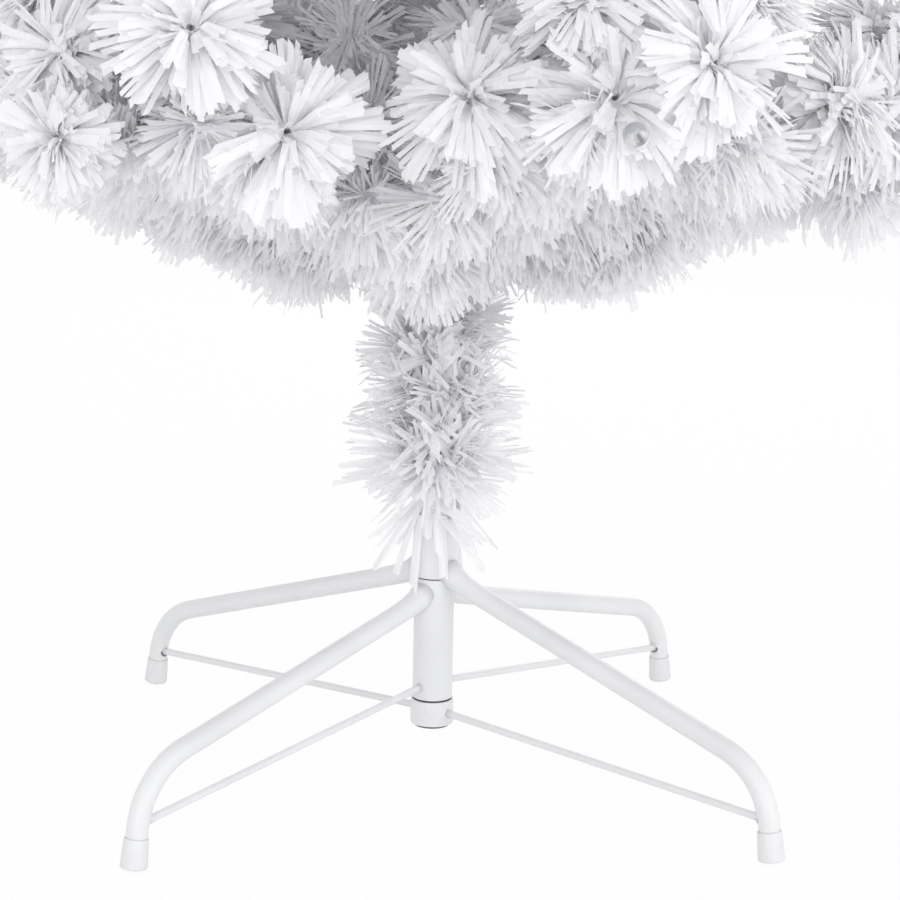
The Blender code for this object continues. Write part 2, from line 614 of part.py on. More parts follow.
def build_stand(coat, rubber, steel):
    """Socket, collars, legs, braces and feet."""
    place("socket_tube", socket_mesh(), steel)
    collar = collar_mesh("upper_collar", COLLAR_BOTTOM, COLLAR_TOP, COLLAR_WALL)
    sleeve = collar_mesh("fold_sleeve", SLEEVE_BOTTOM, SLEEVE_TOP, SLEEVE_WALL)
    ring = collar_mesh("bottom_ring", RING_BOTTOM, RING_TOP, RING_WALL)
    fold = pivot("stand_fold_axis")
    place("upper_collar", collar, coat)
    place("bottom_ring", ring, coat)
    place("fold_sleeve", sleeve, coat, parent=fold)
    foot = foot_mesh()

    upper_hub = COLLAR_BORE + COLLAR_WALL
    ring_hub = COLLAR_BORE + RING_WALL
    lower_hub = COLLAR_BORE + SLEEVE_WALL
    upper_height = COLLAR_BOTTOM + UPPER_LEG_RISE
    lower_height = SLEEVE_TOP - LOWER_LEG_DROP
    frames = (
        (("front_right", "back_left"), UPPER_FRAME_TURN, None,
         leg_mesh("upper_leg", upper_hub, upper_height, UPPER_LEG_SLOPE),
         brace_mesh("upper_brace", ring_hub, (RING_BOTTOM + RING_TOP) / 2,
                    UPPER_BRACE_END_HEIGHT, leg_path(upper_hub, upper_height, UPPER_LEG_SLOPE))),
        (("front_left", "back_right"), LOWER_FRAME_TURN, fold,
         leg_mesh("lower_leg", lower_hub, lower_height, LOWER_LEG_SLOPE),
         brace_mesh("lower_brace", lower_hub, SLEEVE_BOTTOM + LOWER_BRACE_RISE,
                    LOWER_BRACE_END_HEIGHT, leg_path(lower_hub, lower_height, LOWER_LEG_SLOPE))),
    )
    for sides, turn, parent, leg, brace in frames:
        for n, side in enumerate(sides):
            spin = (0, 0, math.radians(turn) + math.pi * n)
            place(f"leg_{side}", leg, coat, rotation=spin, parent=parent)
            place(f"brace_{side}", brace, coat, rotation=spin, parent=parent)
            place(f"foot_{side}", foot, rubber, rotation=spin, parent=parent)


def build_arms(tier, parent, wire_steel, strip):
    """The wires and foliage of a tier, each pair turned about its own hinge pin."""
    wire = wire_mesh(tier)
    foliage = foliage_mesh(tier)
    height = FIRST_TIER_HEIGHT + tier * TIER_PITCH
    for n in range(ARMS_PER_TIER):
        turn = math.radians(FIRST_ARM_TURN + tier * TIER_TURN) + math.tau * n / ARMS_PER_TIER
        where = (PIVOT_RADIUS * math.cos(turn), PIVOT_RADIUS * math.sin(turn), height)
        label = f"{tier + 1}_{n + 1}"
        arm = place(f"wire_{label}", wire, wire_steel, where,
                    (0, -math.radians(ARM_INCLINE), turn), parent)
        place(f"foliage_{label}", foliage, strip, parent=arm)


def build_tree(steel, rubber, plastic, wire_steel, strip):
    """Poles, gland, garland, hinge rings, branches and crown."""
    lower = pivot("lower_trunk_axis")
    upper = pivot("upper_trunk_axis", lower)
    place("pole_lower", lower_pole_mesh(), steel, parent=lower)
    place("pole_upper", upper_pole_mesh(), steel, parent=upper)
    place("cable_gland", gland_mesh(), rubber, parent=lower)
    place("trunk_garland", garland_mesh(), strip, parent=lower)
    place("crown_foliage", crown_mesh(), strip, parent=upper)
    ring = hinge_ring_mesh()
    for tier in range(TIER_COUNT):
        height = FIRST_TIER_HEIGHT + tier * TIER_PITCH
        carrier = lower if height < POLE_JOINT_HEIGHT else upper
        turn = math.radians(FIRST_ARM_TURN + tier * TIER_TURN)
        place(f"hinge_ring_{tier + 1}", ring, plastic, (0, 0, height), (0, 0, turn), carrier)
        build_arms(tier, carrier, wire_steel, strip)


def main():
    """Clear the scene and build the whole tree."""
    for item in list(bpy.data.objects):
        bpy.data.objects.remove(item)
    coat = finish("white_powder_coat", (0.86, 0.87, 0.88), 0.38)
    pole_paint = finish("white_pole_paint", (0.82, 0.83, 0.84), 0.42)
    rubber = finish("white_rubber", (0.84, 0.84, 0.83), 0.62)
    plastic = finish("white_hinge_plastic", (0.85, 0.85, 0.85), 0.5)
    wire_steel = finish("bare_branch_wire", (0.62, 0.62, 0.61), 0.4, 0.8)
    strip = finish("white_tinsel_strip", (0.90, 0.90, 0.92), 0.45)
    build_stand(coat, rubber, pole_paint)
    build_tree(pole_paint, rubber, plastic, wire_steel, strip)
    bpy.context.view_layer.update()


main()
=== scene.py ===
"""Looks of a white fibre optic Christmas tree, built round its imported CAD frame.

Lengths are metres. The tree stands at the origin, +Z is up, and its front is towards -Y.
Every surface is worked out with numpy as whole arrays. A branch has its own frame: X runs out
along its wire from the hinge pin, Y lies along the pin, and Z is square to both.
"""

import json
import math

import bpy
import numpy as np
from mathutils import Matrix, Vector


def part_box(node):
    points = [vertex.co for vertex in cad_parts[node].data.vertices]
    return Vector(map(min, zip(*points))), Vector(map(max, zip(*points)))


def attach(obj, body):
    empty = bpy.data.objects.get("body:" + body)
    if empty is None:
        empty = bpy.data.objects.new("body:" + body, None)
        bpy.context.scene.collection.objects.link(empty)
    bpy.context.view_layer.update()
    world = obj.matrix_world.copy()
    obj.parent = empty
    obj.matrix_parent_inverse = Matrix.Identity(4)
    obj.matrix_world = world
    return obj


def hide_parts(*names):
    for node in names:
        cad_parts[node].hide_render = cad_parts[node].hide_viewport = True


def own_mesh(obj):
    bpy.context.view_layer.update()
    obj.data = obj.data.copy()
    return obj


bl_info = {
    "name": "Fibre Optic Christmas Tree",
    "version": (1, 0, 0),
    "blender": (4, 5, 0),
    "location": "3D View > Sidebar > Tree",
    "description": "Dresses a folding tree frame with strips, needles, lights and finishes",
    "category": "Object",
}

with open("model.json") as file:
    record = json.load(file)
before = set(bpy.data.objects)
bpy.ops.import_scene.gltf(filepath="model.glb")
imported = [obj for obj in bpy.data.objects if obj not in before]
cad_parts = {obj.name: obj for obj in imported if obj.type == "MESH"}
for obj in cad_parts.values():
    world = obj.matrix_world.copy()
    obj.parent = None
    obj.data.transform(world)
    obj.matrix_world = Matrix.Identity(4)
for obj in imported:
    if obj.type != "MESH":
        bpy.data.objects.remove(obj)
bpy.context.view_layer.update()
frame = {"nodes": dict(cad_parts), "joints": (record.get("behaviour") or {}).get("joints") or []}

# Measures of the frame as the CAD model has them, and of what its pieces get here
FRAME_TURNS = (320.0, 230.0)      # where the front leg of each stand frame points
LEG_NAMES = (("front_right", "back_left"), ("front_left", "back_right"))
LEG_BODIES = ("root", "lower_frame")
LEG_SLOPES = (17.2, 13.2)         # how steeply the legs of each frame fall, in degrees
LEG_LEAN = 8.0           # how far a foot leans out from upright, in degrees
LEG_BEND = 0.058         # radius of the bend between the two
LEG_CIRCLE = 0.325       # radius that the feet stand on
LEG_RADIUS = 0.008
CAP_FLOOR = 0.004        # thickness of a foot cap under the leg, then of its wall
CAP_WALL = 0.0017
CAP_TILT = 0.0014        # a cap stands on its inner edge, so its middle is this far up
WELD_RISE = 0.0045       # how far a leg's middle line rises as it meets its hub
WELD_FLARE = 0.0030      # how much the leg widens there
WELD_REACH = 0.0085      # how fast both fade with the distance from the hub
WELD_START = 0.0015      # the weld is full up to this far inside the hub's own radius
WELD_ACROSS = 0.8        # its width across, as a share of its rise upwards
WELD_CLEAR = 0.0086      # half the leg's height on the side that another leg swings past
COLLAR_LEG_RISE = 0.0004     # a leg meets the collar this far above the collar's bottom
SLEEVE_LEG_DROP = 0.0175     # and the sleeve this far below the sleeve's top
SLEEVE_BRACE_RISE = 0.011    # a brace meets the sleeve this far above the sleeve's bottom
BRACE_ENDS = (0.031, 0.033)  # height of a brace where it meets its leg, in each frame
BRACE_RADIUS = 0.0029
BRACE_FLARE = 0.0005     # how much a brace thickens at its ends, which fades over this share
BRACE_FADE = 0.012
BRACE_SHADE_RADIUS = 0.0036     # radius of the dark ring of painted shade round a brace's end, where it goes into its leg
BRACE_SHADE_RIM = (0.0005, 0.00035)  # half the width of that ring of painted shade, and half its height
BRACE_SHADE_DROP = 0.0007       # its middle is this far below the brace's, so that the painted shade shows under the brace
HUB_GAP = 0.0004         # taken off the facing ends of ring, sleeve and collar
COLLAR_BORE = 0.0148
COLLAR_EDGE = 0.0009     # radius of the outer edges of collar, sleeve and ring
BORE_EDGE = 0.0004       # size of the broken edge of their bores
POLE_SKIN = 0.0125       # radius where the pole's own needles and single strips start
TAPE_BORE = 0.0127       # inner radius of the tape wound on the pole
POLE_TOP = 1.14
PIVOT_RADIUS = 0.021     # distance of a branch's hinge pin from the pole's axis
TIERS = 3
ARMS = 6                 # branches in a tier
TIER_REACHES = (0.44, 0.355, 0.27)    # radius of each tier, then of its largest tufts
TIER_TUFTS = (0.066, 0.061, 0.056)
TIER_FULLNESS = (1.0, 0.78, 0.72)     # how densely each tier is set with strips
CROWN_TOP = 1.50
CROWN_TUFT = 0.056
CROWN_FULLNESS = 0.72

# Strips, needles and what they are wound on
STRIP_RIDGE = 0.16       # a strip's thickness, as a share of its width
STRIP_END = 0.9          # its width at its cut end, as a share of its full width
NEEDLE_DEPTH = 0.35      # a needle's thickness at its root, as a share of its width
GOLDEN_ANGLE = 2.39996   # the turn in radians from one clump wound on a stem to the next
STEM_STEP = 0.008        # length of a stem between two of its rings
WIRE_WRAP = 0.0046       # radius of the tape on a branch's wire, on a twig and on a thin twig
TWIG_WRAP = 0.0034
SPRAY_WRAP = 0.0030
WIRE_ROOT = 0.05         # a twig that starts nearer to the pin than this share is the wire
BRANCH_SEED = 1000       # where each group's random numbers start
GARLAND_SEED = 77
TRUNK_SEED = 50
CROWN_SEED = 9
UP = np.array([0.0, 0.0, 1.0])
# Slots of a foliage piece's finishes, and the slot of the dark ring of painted shade round a brace's
# end
STRIP, NEEDLE, TAPE, LENS, HOLDER, PIN = range(6)
BRACE_SHADE_SLOT = 1


# Arrays of surfaces


def unit(vectors):
    """Vectors divided by their own lengths."""
    return vectors / np.linalg.norm(vectors, axis=-1, keepdims=True)


def square_pair(axis):
    """Two unit vectors square to the axis and to each other, for a right-handed frame."""
    axis = np.asarray(axis, float)
    spare = UP if abs(axis[2]) < 0.9 else np.array([1.0, 0.0, 0.0])
    first = unit(np.cross(spare, axis))
    return first, np.cross(axis, first)


def spokes(azimuth, first=(1.0, 0.0, 0.0), second=(0.0, 1.0, 0.0)):
    """Unit vectors out from an axis at each azimuth, and those a quarter turn on from them.

    The first is cosine times the first direction plus sine times the second.
    """
    cos, sin = np.cos(azimuth)[:, None], np.sin(azimuth)[:, None]
    first, second = np.asarray(first), np.asarray(second)
    return cos * first + sin * second, -sin * first + cos * second


def blend(angle, first, second):
    """Cosine of each angle times the first vectors plus its sine times the second ones."""
    return np.cos(angle)[:, None] * first + np.sin(angle)[:, None] * second


class Batch:
    """Surfaces gathered as arrays, then written into one mesh."""

    def __init__(self):
        self.points, self.uv, self.tone = [], [], []
        self.quads, self.tris, self.quad_finish, self.tri_finish = [], [], [], []
        self.total = 0

    def add(self, points, uv, tone, quads, tris, finish=0):
        """Add points with their UV and tone, and faces that count from the first of them."""
        self.points.append(points.reshape(-1, 3))
        self.uv.append(uv.reshape(-1, 2))
        self.tone.append(tone.ravel())
        self.quads.append(quads.reshape(-1, 4) + self.total)
        self.tris.append(tris.reshape(-1, 3) + self.total)
        self.quad_finish.append(np.full(len(self.quads[-1]), finish))
        self.tri_finish.append(np.full(len(self.tris[-1]), finish))
        self.total += len(self.points[-1])

    def write(self, name, materials, smooth=False):
        """Make the named mesh object, with one slot for each material."""
        points = np.concatenate(self.points)
        quads, tris = np.concatenate(self.quads), np.concatenate(self.tris)
        corners = np.concatenate([quads.ravel(), tris.ravel()])
        starts = np.concatenate([np.arange(len(quads)) * 4,
                                 quads.size + np.arange(len(tris)) * 3])
        mesh = bpy.data.meshes.new(name)
        mesh.vertices.add(len(points))
        mesh.vertices.foreach_set("co", points.astype(np.float32).ravel())
        mesh.loops.add(len(corners))
        mesh.loops.foreach_set("vertex_index", corners.astype(np.int32))
        mesh.polygons.add(len(starts))
        mesh.polygons.foreach_set("loop_start", starts.astype(np.int32))
        mesh.polygons.foreach_set("material_index", np.concatenate(
            self.quad_finish + self.tri_finish).astype(np.int32))
        mesh.polygons.foreach_set("use_smooth", np.full(len(starts), smooth))
        mesh.update(calc_edges=True)
        layer = mesh.uv_layers.new(name="UVMap")
        layer.uv.foreach_set("vector", np.concatenate(self.uv)[corners].astype(np.float32).ravel())
        tone = mesh.attributes.new("strip_tone", "FLOAT", "POINT")
        tone.data.foreach_set("value", np.concatenate(self.tone).astype(np.float32))
        for material in materials:
            mesh.materials.append(material)
        piece = bpy.data.objects.new(name, mesh)
        bpy.context.scene.collection.objects.link(piece)
        return piece


def add_ribbons(batch, field, rings=3, root_share=0.45):
    """Closed three-sided ribbons.

    The middle line of a ribbon is root + length * (t * aim + t squared * bend), for t from 0
    to 1. Two corners lie half a width to each side of it and the third lies under it, so that
    the upper face is flat. The width grows from its root share to full at a third of the
    length, and the end is cut at a slant.
    """
    t = np.linspace(0, 1, rings)
    count = len(field["root"])
    length = field["length"][:, None, None]
    steps = t[None, :, None]
    aim, bend = field["aim"][:, None], field["bend"][:, None]
    middle = field["root"][:, None] + length * (steps * aim + steps ** 2 * bend)
    tangent = unit(aim + 2 * steps * bend)
    normal = unit(np.cross(tangent, field["side"][:, None]))
    flank = np.cross(normal, tangent)
    shares = np.interp(t, [0, 0.35, 1], [root_share, 1, STRIP_END])[None, :, None]
    half = field["width"][:, None, None] * shares / 2
    corners = np.stack([middle + flank * half, middle - flank * half,
                        middle - normal * half * 2 * STRIP_RIDGE], axis=2)
    slant = (field["slant"] * field["width"])[:, None]
    corners[:, -1, 0] += tangent[:, -1] * slant
    corners[:, -1, 1] -= tangent[:, -1] * slant
    uv = np.empty((count, rings, 3, 2))
    uv[..., 0] = np.array([0.0, 1.0, 0.5])
    uv[..., 1] = t[None, :, None]
    tone = np.repeat(field["tone"], rings * 3)
    ring = 3 * np.arange(rings - 1)[:, None]
    here = np.arange(3)[None, :]
    after = (here + 1) % 3
    quads = np.stack([ring + here, ring + after, ring + 3 + after, ring + 3 + here], axis=-1)
    last = 3 * (rings - 1)
    tris = np.array([[2, 1, 0], [last, last + 1, last + 2]])
    base = (np.arange(count) * rings * 3)[:, None, None]
    batch.add(corners, uv, tone, quads.reshape(1, -1, 4) + base, tris[None] + base, STRIP)


def add_needles(batch, field):
    """Closed needles of four faces each.

    A needle starts as a short edge across its own thickness and ends as an edge of its full
    width, square to the first, so that it widens from its root to a cut end. Its end lies at
    root + length * (aim + bend).
    """
    reach = field["aim"] + field["bend"]
    tip = field["root"] + field["length"][:, None] * reach
    tangent = unit(reach)
    normal = unit(np.cross(tangent, field["side"]))
    flank = np.cross(normal, tangent)
    half = field["width"][:, None] / 2
    slant = tangent * (field["slant"] * field["width"])[:, None]
    depth = normal * half * NEEDLE_DEPTH
    corners = np.stack([field["root"] + depth, field["root"] - depth,
                        tip + flank * half + slant, tip - flank * half - slant], axis=1)
    count = len(tip)
    uv = np.broadcast_to(np.array([[0.5, 0.0], [0.5, 0.0], [0.0, 1.0], [1.0, 1.0]]),
                         (count, 4, 2))
    tris = np.array([[0, 3, 2], [1, 2, 3], [0, 2, 1], [0, 1, 3]])
    base = (4 * np.arange(count))[:, None, None]
    batch.add(corners, uv, np.repeat(field["tone"], 4), np.empty((0, 4), int), tris + base,
              NEEDLE)


def add_grid(batch, points, tone=0.5, finish=0, cap=True, close_rows=False):
    """A surface on a grid whose rows close on themselves.

    Row m is a ring of points, and rings are joined one after another. Ends are closed by a
    fan to the middle of the end ring, or the last ring is joined to the first.
    """
    rows, sides = points.shape[:2]
    row = np.arange(rows if close_rows else rows - 1)[:, None]
    next_row = (row + 1) % rows
    here = np.arange(sides)[None, :]
    after = (here + 1) % sides
    quads = np.stack([row * sides + here, row * sides + after,
                      next_row * sides + after, next_row * sides + here], axis=-1)
    uv = np.empty((rows, sides, 2))
    uv[..., 0] = np.arange(sides)[None, :] / sides
    uv[..., 1] = np.arange(rows)[:, None] / max(rows - 1, 1)
    flat, flat_uv = points.reshape(-1, 3), uv.reshape(-1, 2)
    tris = np.empty((0, 3), int)
    if cap and not close_rows:
        middles = np.stack([points[0].mean(axis=0), points[-1].mean(axis=0)])
        flat = np.concatenate([flat, middles])
        flat_uv = np.concatenate([flat_uv, [[0.5, 0], [0.5, 1]]])
        low, high = rows * sides, rows * sides + 1
        ring = np.arange(sides)
        turn = (ring + 1) % sides
        top = (rows - 1) * sides
        tris = np.concatenate([
            np.stack([turn, ring, np.full(sides, low)], axis=1),
            np.stack([top + ring, top + turn, np.full(sides, high)], axis=1)])
    batch.add(flat, flat_uv, np.full(len(flat), tone), quads, tris, finish)


def turned(profile, sides):
    """Rings of a turned shape: each (radius, height) point of the profile goes round Z.

    The profile climbs on the outside, so that the faces point outwards.
    """
    profile = np.asarray(profile, float)
    angle = math.tau * np.arange(sides) / sides
    rings = np.empty((len(profile), sides, 3))
    rings[..., 0] = profile[:, None, 0] * np.cos(angle)
    rings[..., 1] = profile[:, None, 0] * np.sin(angle)
    rings[..., 2] = profile[:, None, 1]
    return rings


def piped(path, radii, sides, across):
    """Rings of a pipe: circles of the given radii, square to a path that lies in one plane.

    across is the unit vector square to that plane.
    """
    path, radii = np.asarray(path, float), np.asarray(radii, float)
    tangent = unit(np.gradient(path, axis=0))
    across = np.broadcast_to(np.asarray(across, float), path.shape)
    over = np.cross(tangent, across)
    angle = math.tau * np.arange(sides) / sides
    ring = (across[:, None] * np.cos(angle)[:, None] + over[:, None] * np.sin(angle)[:, None])
    return path[:, None] + radii[:, None, None] * ring


def placed(points, matrix):
    """Points moved by a 4x4 matrix."""
    m = np.array(matrix, float)
    return points @ m[:3, :3].T + m[:3, 3]


# Materials


def finish_nodes(name, roughness):
    """A new material with its Principled BSDF and a helper that adds linked nodes."""
    material = bpy.data.materials.new(name)
    material.use_nodes = True
    tree = material.node_tree
    shader = tree.nodes["Principled BSDF"]
    shader.inputs["Roughness"].default_value = roughness

    def add(kind, inputs=(), **settings):
        node = tree.nodes.new(kind)
        for key, value in settings.items():
            setattr(node, key, value)
        for key, value in dict(inputs).items():
            if isinstance(value, bpy.types.NodeSocket):
                tree.links.new(value, node.inputs[key])
            else:
                node.inputs[key].default_value = value
        return node

    def join(socket, name):
        tree.links.new(socket, shader.inputs[name])

    return material, shader, add, join


def blended(add, factor, low, high):
    """A colour between two colours, by a factor socket."""
    mix = add("ShaderNodeMix", {0: factor, 6: (*low, 1.0), 7: (*high, 1.0)}, data_type="RGBA")
    return mix.outputs[2]


def ranged(add, value, low, high, from_low=0.0, from_high=1.0):
    """A value mapped from one range to another."""
    node = add("ShaderNodeMapRange", {"Value": value, "From Min": from_low,
                                      "From Max": from_high, "To Min": low, "To Max": high})
    return node.outputs["Result"]


def noise(add, vector, scale, detail, roughness=0.5):
    """A noise value at a vector socket, with so many cells to the metre."""
    return add("ShaderNodeTexNoise", {"Vector": vector, "Scale": scale, "Detail": detail,
                                      "Roughness": roughness}).outputs["Fac"]


def raise_skin(add, join, height, strength, distance):
    """Give the shader a relief from a height socket."""
    bump = add("ShaderNodeBump", {"Strength": strength, "Distance": distance, "Height": height})
    join(bump.outputs["Normal"], "Normal")


def toned(colour, share):
    """A colour at a share of its brightness."""
    return tuple(part * share for part in colour)


def strip_finish(name, dark, light, roughness=0.42, clearness=0.45):
    """White film: a tone for each strip, fine streaks along it and a slight grain.

    A share of the light that falls on it, its clearness, comes through to the other side. The
    insides of a strip's own faces let light pass, so that its two skins act as one sheet.
    """
    material, shader, add, join = finish_nodes(name, roughness)
    tone = add("ShaderNodeAttribute", attribute_name="strip_tone")
    place = add("ShaderNodeUVMap", uv_map="UVMap")
    lanes = add("ShaderNodeMapping", {"Vector": place.outputs["UV"], "Scale": (5.0, 0.7, 1.0)})
    streak = noise(add, lanes.outputs["Vector"], 2.2, 3.0)
    spread = ranged(add, streak, -0.22, 0.22, 0.3, 0.7)
    total = add("ShaderNodeMath", {0: tone.outputs["Fac"], 1: spread}, operation="ADD",
                use_clamp=True)
    join(blended(add, total.outputs[0], dark, light), "Base Color")
    join(ranged(add, streak, roughness - 0.08, roughness + 0.1), "Roughness")
    grain = noise(add, add("ShaderNodeTexCoord").outputs["Object"], 900.0, 2.0)
    height = add("ShaderNodeMath", {0: streak, 1: grain}, operation="ADD")
    raise_skin(add, join, height.outputs[0], 0.25, 0.0004)
    through = add("ShaderNodeBsdfTranslucent", {"Color": (*light, 1.0)})
    film = add("ShaderNodeMixShader", {0: clearness, 1: shader.outputs[0],
                                       2: through.outputs[0]})
    inside = add("ShaderNodeNewGeometry")
    sheet = add("ShaderNodeMixShader", {0: inside.outputs["Backfacing"], 1: film.outputs[0],
                                        2: add("ShaderNodeBsdfTransparent").outputs[0]})
    output = material.node_tree.nodes["Material Output"]
    material.node_tree.links.new(sheet.outputs[0], output.inputs["Surface"])
    return material


def coat_finish(name, colour, roughness, grain_size, bump_height, wear=0.06):
    """Sprayed paint or moulded plastic: a faint cloudiness and an orange-peel skin."""
    material, _, add, join = finish_nodes(name, roughness)
    space = add("ShaderNodeTexCoord").outputs["Object"]
    shade = ranged(add, noise(add, space, 14.0, 4.0), 0.0, 1.0, 0.3, 0.7)
    skin = noise(add, space, 1.0 / grain_size, 3.0, 0.6)
    join(blended(add, shade, toned(colour, 1 - wear), colour), "Base Color")
    join(ranged(add, skin, roughness - 0.07, roughness + 0.09, 0.3, 0.7), "Roughness")
    raise_skin(add, join, skin, 0.35, bump_height)
    return material


def metal_finish(name, colour, roughness):
    """Drawn steel wire: fine scratches round it over a soft tarnish."""
    material, shader, add, join = finish_nodes(name, roughness)
    shader.inputs["Metallic"].default_value = 0.85
    space = add("ShaderNodeTexCoord").outputs["Object"]
    tarnish, scratch = noise(add, space, 60.0, 5.0), noise(add, space, 1400.0, 2.0)
    join(blended(add, tarnish, toned(colour, 0.72), colour), "Base Color")
    join(ranged(add, scratch, roughness - 0.1, roughness + 0.15), "Roughness")
    raise_skin(add, join, scratch, 0.2, 0.0001)
    return material


def lens_finish(name):
    """Clear cast plastic of a light, a little cloudy inside."""
    material, shader, add, join = finish_nodes(name, 0.2)
    shader.inputs["Transmission Weight"].default_value = 0.8
    shader.inputs["IOR"].default_value = 1.46
    haze = noise(add, add("ShaderNodeTexCoord").outputs["Object"], 320.0, 3.0)
    join(blended(add, haze, (0.79, 0.80, 0.83), (0.88, 0.89, 0.92)), "Base Color")
    join(ranged(add, haze, 0.10, 0.22), "Roughness")
    return material


def finishes():
    """The materials by name, made once."""
    made = {m["tree_finish"]: m for m in bpy.data.materials if m.get("tree_finish")}
    if made:
        return made
    looks = bpy.context.scene.tree_looks
    strip, coat = tuple(looks.strip_colour), tuple(looks.coat_colour)
    shade = tuple(looks.strip_shade)
    rows = [
        strip_finish("white_film_strip", shade, strip),
        strip_finish("white_film_needle", shade, strip, 0.48, 0.62),
        coat_finish("stand_powder_coat", coat, 0.34, 0.0016, 0.00012),
        coat_finish("sprayed_pole_paint", toned(coat, 0.97), 0.4, 0.0014, 0.0001),
        coat_finish("white_cap_plastic", toned(coat, 0.985), 0.5, 0.0009, 0.00008),
        coat_finish("white_bracket_plastic", toned(coat, 0.96), 0.46, 0.001, 0.0001),
        coat_finish("white_bush_rubber", toned(coat, 0.9), 0.62, 0.0007, 0.0001),
        coat_finish("wound_stem_tape", toned(strip, 0.93), 0.55, 0.0012, 0.0003, 0.2),
        metal_finish("plain_branch_wire", (0.66, 0.66, 0.65), 0.36),
        # Dark steel for a light's pin, and painted shade for the ring round each brace's end.
        metal_finish("dull_rivet_steel", (0.24, 0.24, 0.25), 0.42),
        # Near-black steel for the socket tube, so that the gaps between ring, sleeve and collar show
        # as dark lines: painted shade.
        metal_finish("bare_socket_steel", (0.13, 0.13, 0.135), 0.55),
        lens_finish("clear_light_lens"),
    ]
    for material in rows:
        material["tree_finish"] = material.name
    return {m.name: m for m in rows}


# Tufts and needles


def merge(*fields):
    """One field of ribbons out of several."""
    return {key: np.concatenate([f[key] for f in fields]) for key in fields[0]}


def strips_of(rng, root, aim, bend, side, length, width, widths, slant, tone):
    """A field of ribbons or needles, one row for each.

    Its width is drawn from a range of shares, the slant of its cut end from a bell curve, and
    its tone evenly from a range, or as one value for each group and a little for each strip.
    """
    count = len(length)
    field = {"root": root, "aim": aim, "bend": bend, "side": side, "length": length,
             "width": width * rng.uniform(*widths, count),
             "slant": rng.normal(0, slant, count)}
    if len(tone) == 2:
        field["tone"] = rng.uniform(*tone, count)
    else:
        groups, middle, spread, own = tone
        field["tone"] = np.clip(np.repeat(rng.normal(middle, spread, groups), count // groups)
                                + rng.normal(0, own, count), 0, 1)
    return field


# Rings of petals in a tuft, from its back to its middle: petals, strips in a petal, lean from
# the twig's line in degrees, length as a share of the tuft's radius, half the fan of a petal
# in degrees, and how far it curls outwards
TUFT_LAYERS = (
    (12, 8, 106.0, 0.90, 9.0, 0.22),
    (12, 9, 90.0, 1.00, 9.5, 0.34),
    (11, 8, 73.0, 0.98, 9.5, 0.48),
    (8, 8, 58.0, 0.80, 11.0, 0.60),
    (5, 7, 44.0, 0.54, 15.0, 0.62),
    (3, 4, 18.0, 0.30, 24.0, 0.30),
)


def tuft_field(rng, middle, axis, radius, width, fullness=1.0):
    """Strips of a tuft at a twig's end.

    Strips leave a small ring round the twig's line. In each layer they gather into petals: the
    azimuth of a strip is that of its petal plus its place in the fan, and its lean is that of
    the layer plus the square of that place. Every strip starts closer to the twig's line than
    it ends, so that the petals curl back round a hollow middle, and all sag a little.
    """
    first, second = square_pair(axis)
    axis = unit(np.asarray(axis, float))
    parts = []
    for petals, strips, lean, share, fan, curl in TUFT_LAYERS:
        strips = max(3, round(strips * fullness))
        shape = (petals, strips)
        place = np.linspace(-1, 1, strips)[None, :] + rng.normal(0, 0.02, shape)
        turn = math.tau * (np.arange(petals)[:, None] + rng.normal(0, 0.24, (petals, 1))) / petals
        turn = turn + rng.uniform(0, math.tau)
        fans = math.radians(fan) * rng.uniform(0.75, 1.35, (petals, 1))
        azimuth = turn + fans * place
        leans = np.radians(lean + rng.normal(0, 11.0, (petals, 1))
                           + rng.normal(0, 7.0, (petals, 1)) * place + 5.0 * place ** 2
                           + rng.normal(0, 0.35, shape))
        size = share * rng.uniform(0.74, 1.10, (petals, 1)) * (
            1 - 0.07 * place ** 2 + rng.uniform(-0.07, 0.04, shape))
        azimuth, leans, size = azimuth.ravel(), leans.ravel(), size.ravel()
        out, round_ = spokes(azimuth, first, second)
        line, back = blend(leans, axis, out), blend(leans, out, -axis)
        curls = (curl * np.repeat(rng.uniform(0.3, 1.6, petals), strips)
                 + rng.normal(0, 0.015, size.shape))[:, None]
        roll = (np.repeat(rng.normal(0, 0.26, petals), strips) + rng.normal(0, 0.03, size.shape)
                + 0.14 * np.broadcast_to(place, shape).ravel())
        sag = UP * -0.06
        count = size.size
        root = (middle + out * (0.0024 + 0.0012 * rng.random((count, 1)))
                - axis * rng.uniform(0.002, 0.016, (count, 1)))
        parts.append(strips_of(
            rng, root, line - curls * back, curls * back + sag, blend(roll, round_, back),
            radius * size, width / math.sqrt(fullness), (0.85, 1.15), 0.3,
            (petals, 0.70, 0.14, 0.05)))
    return merge(*parts)


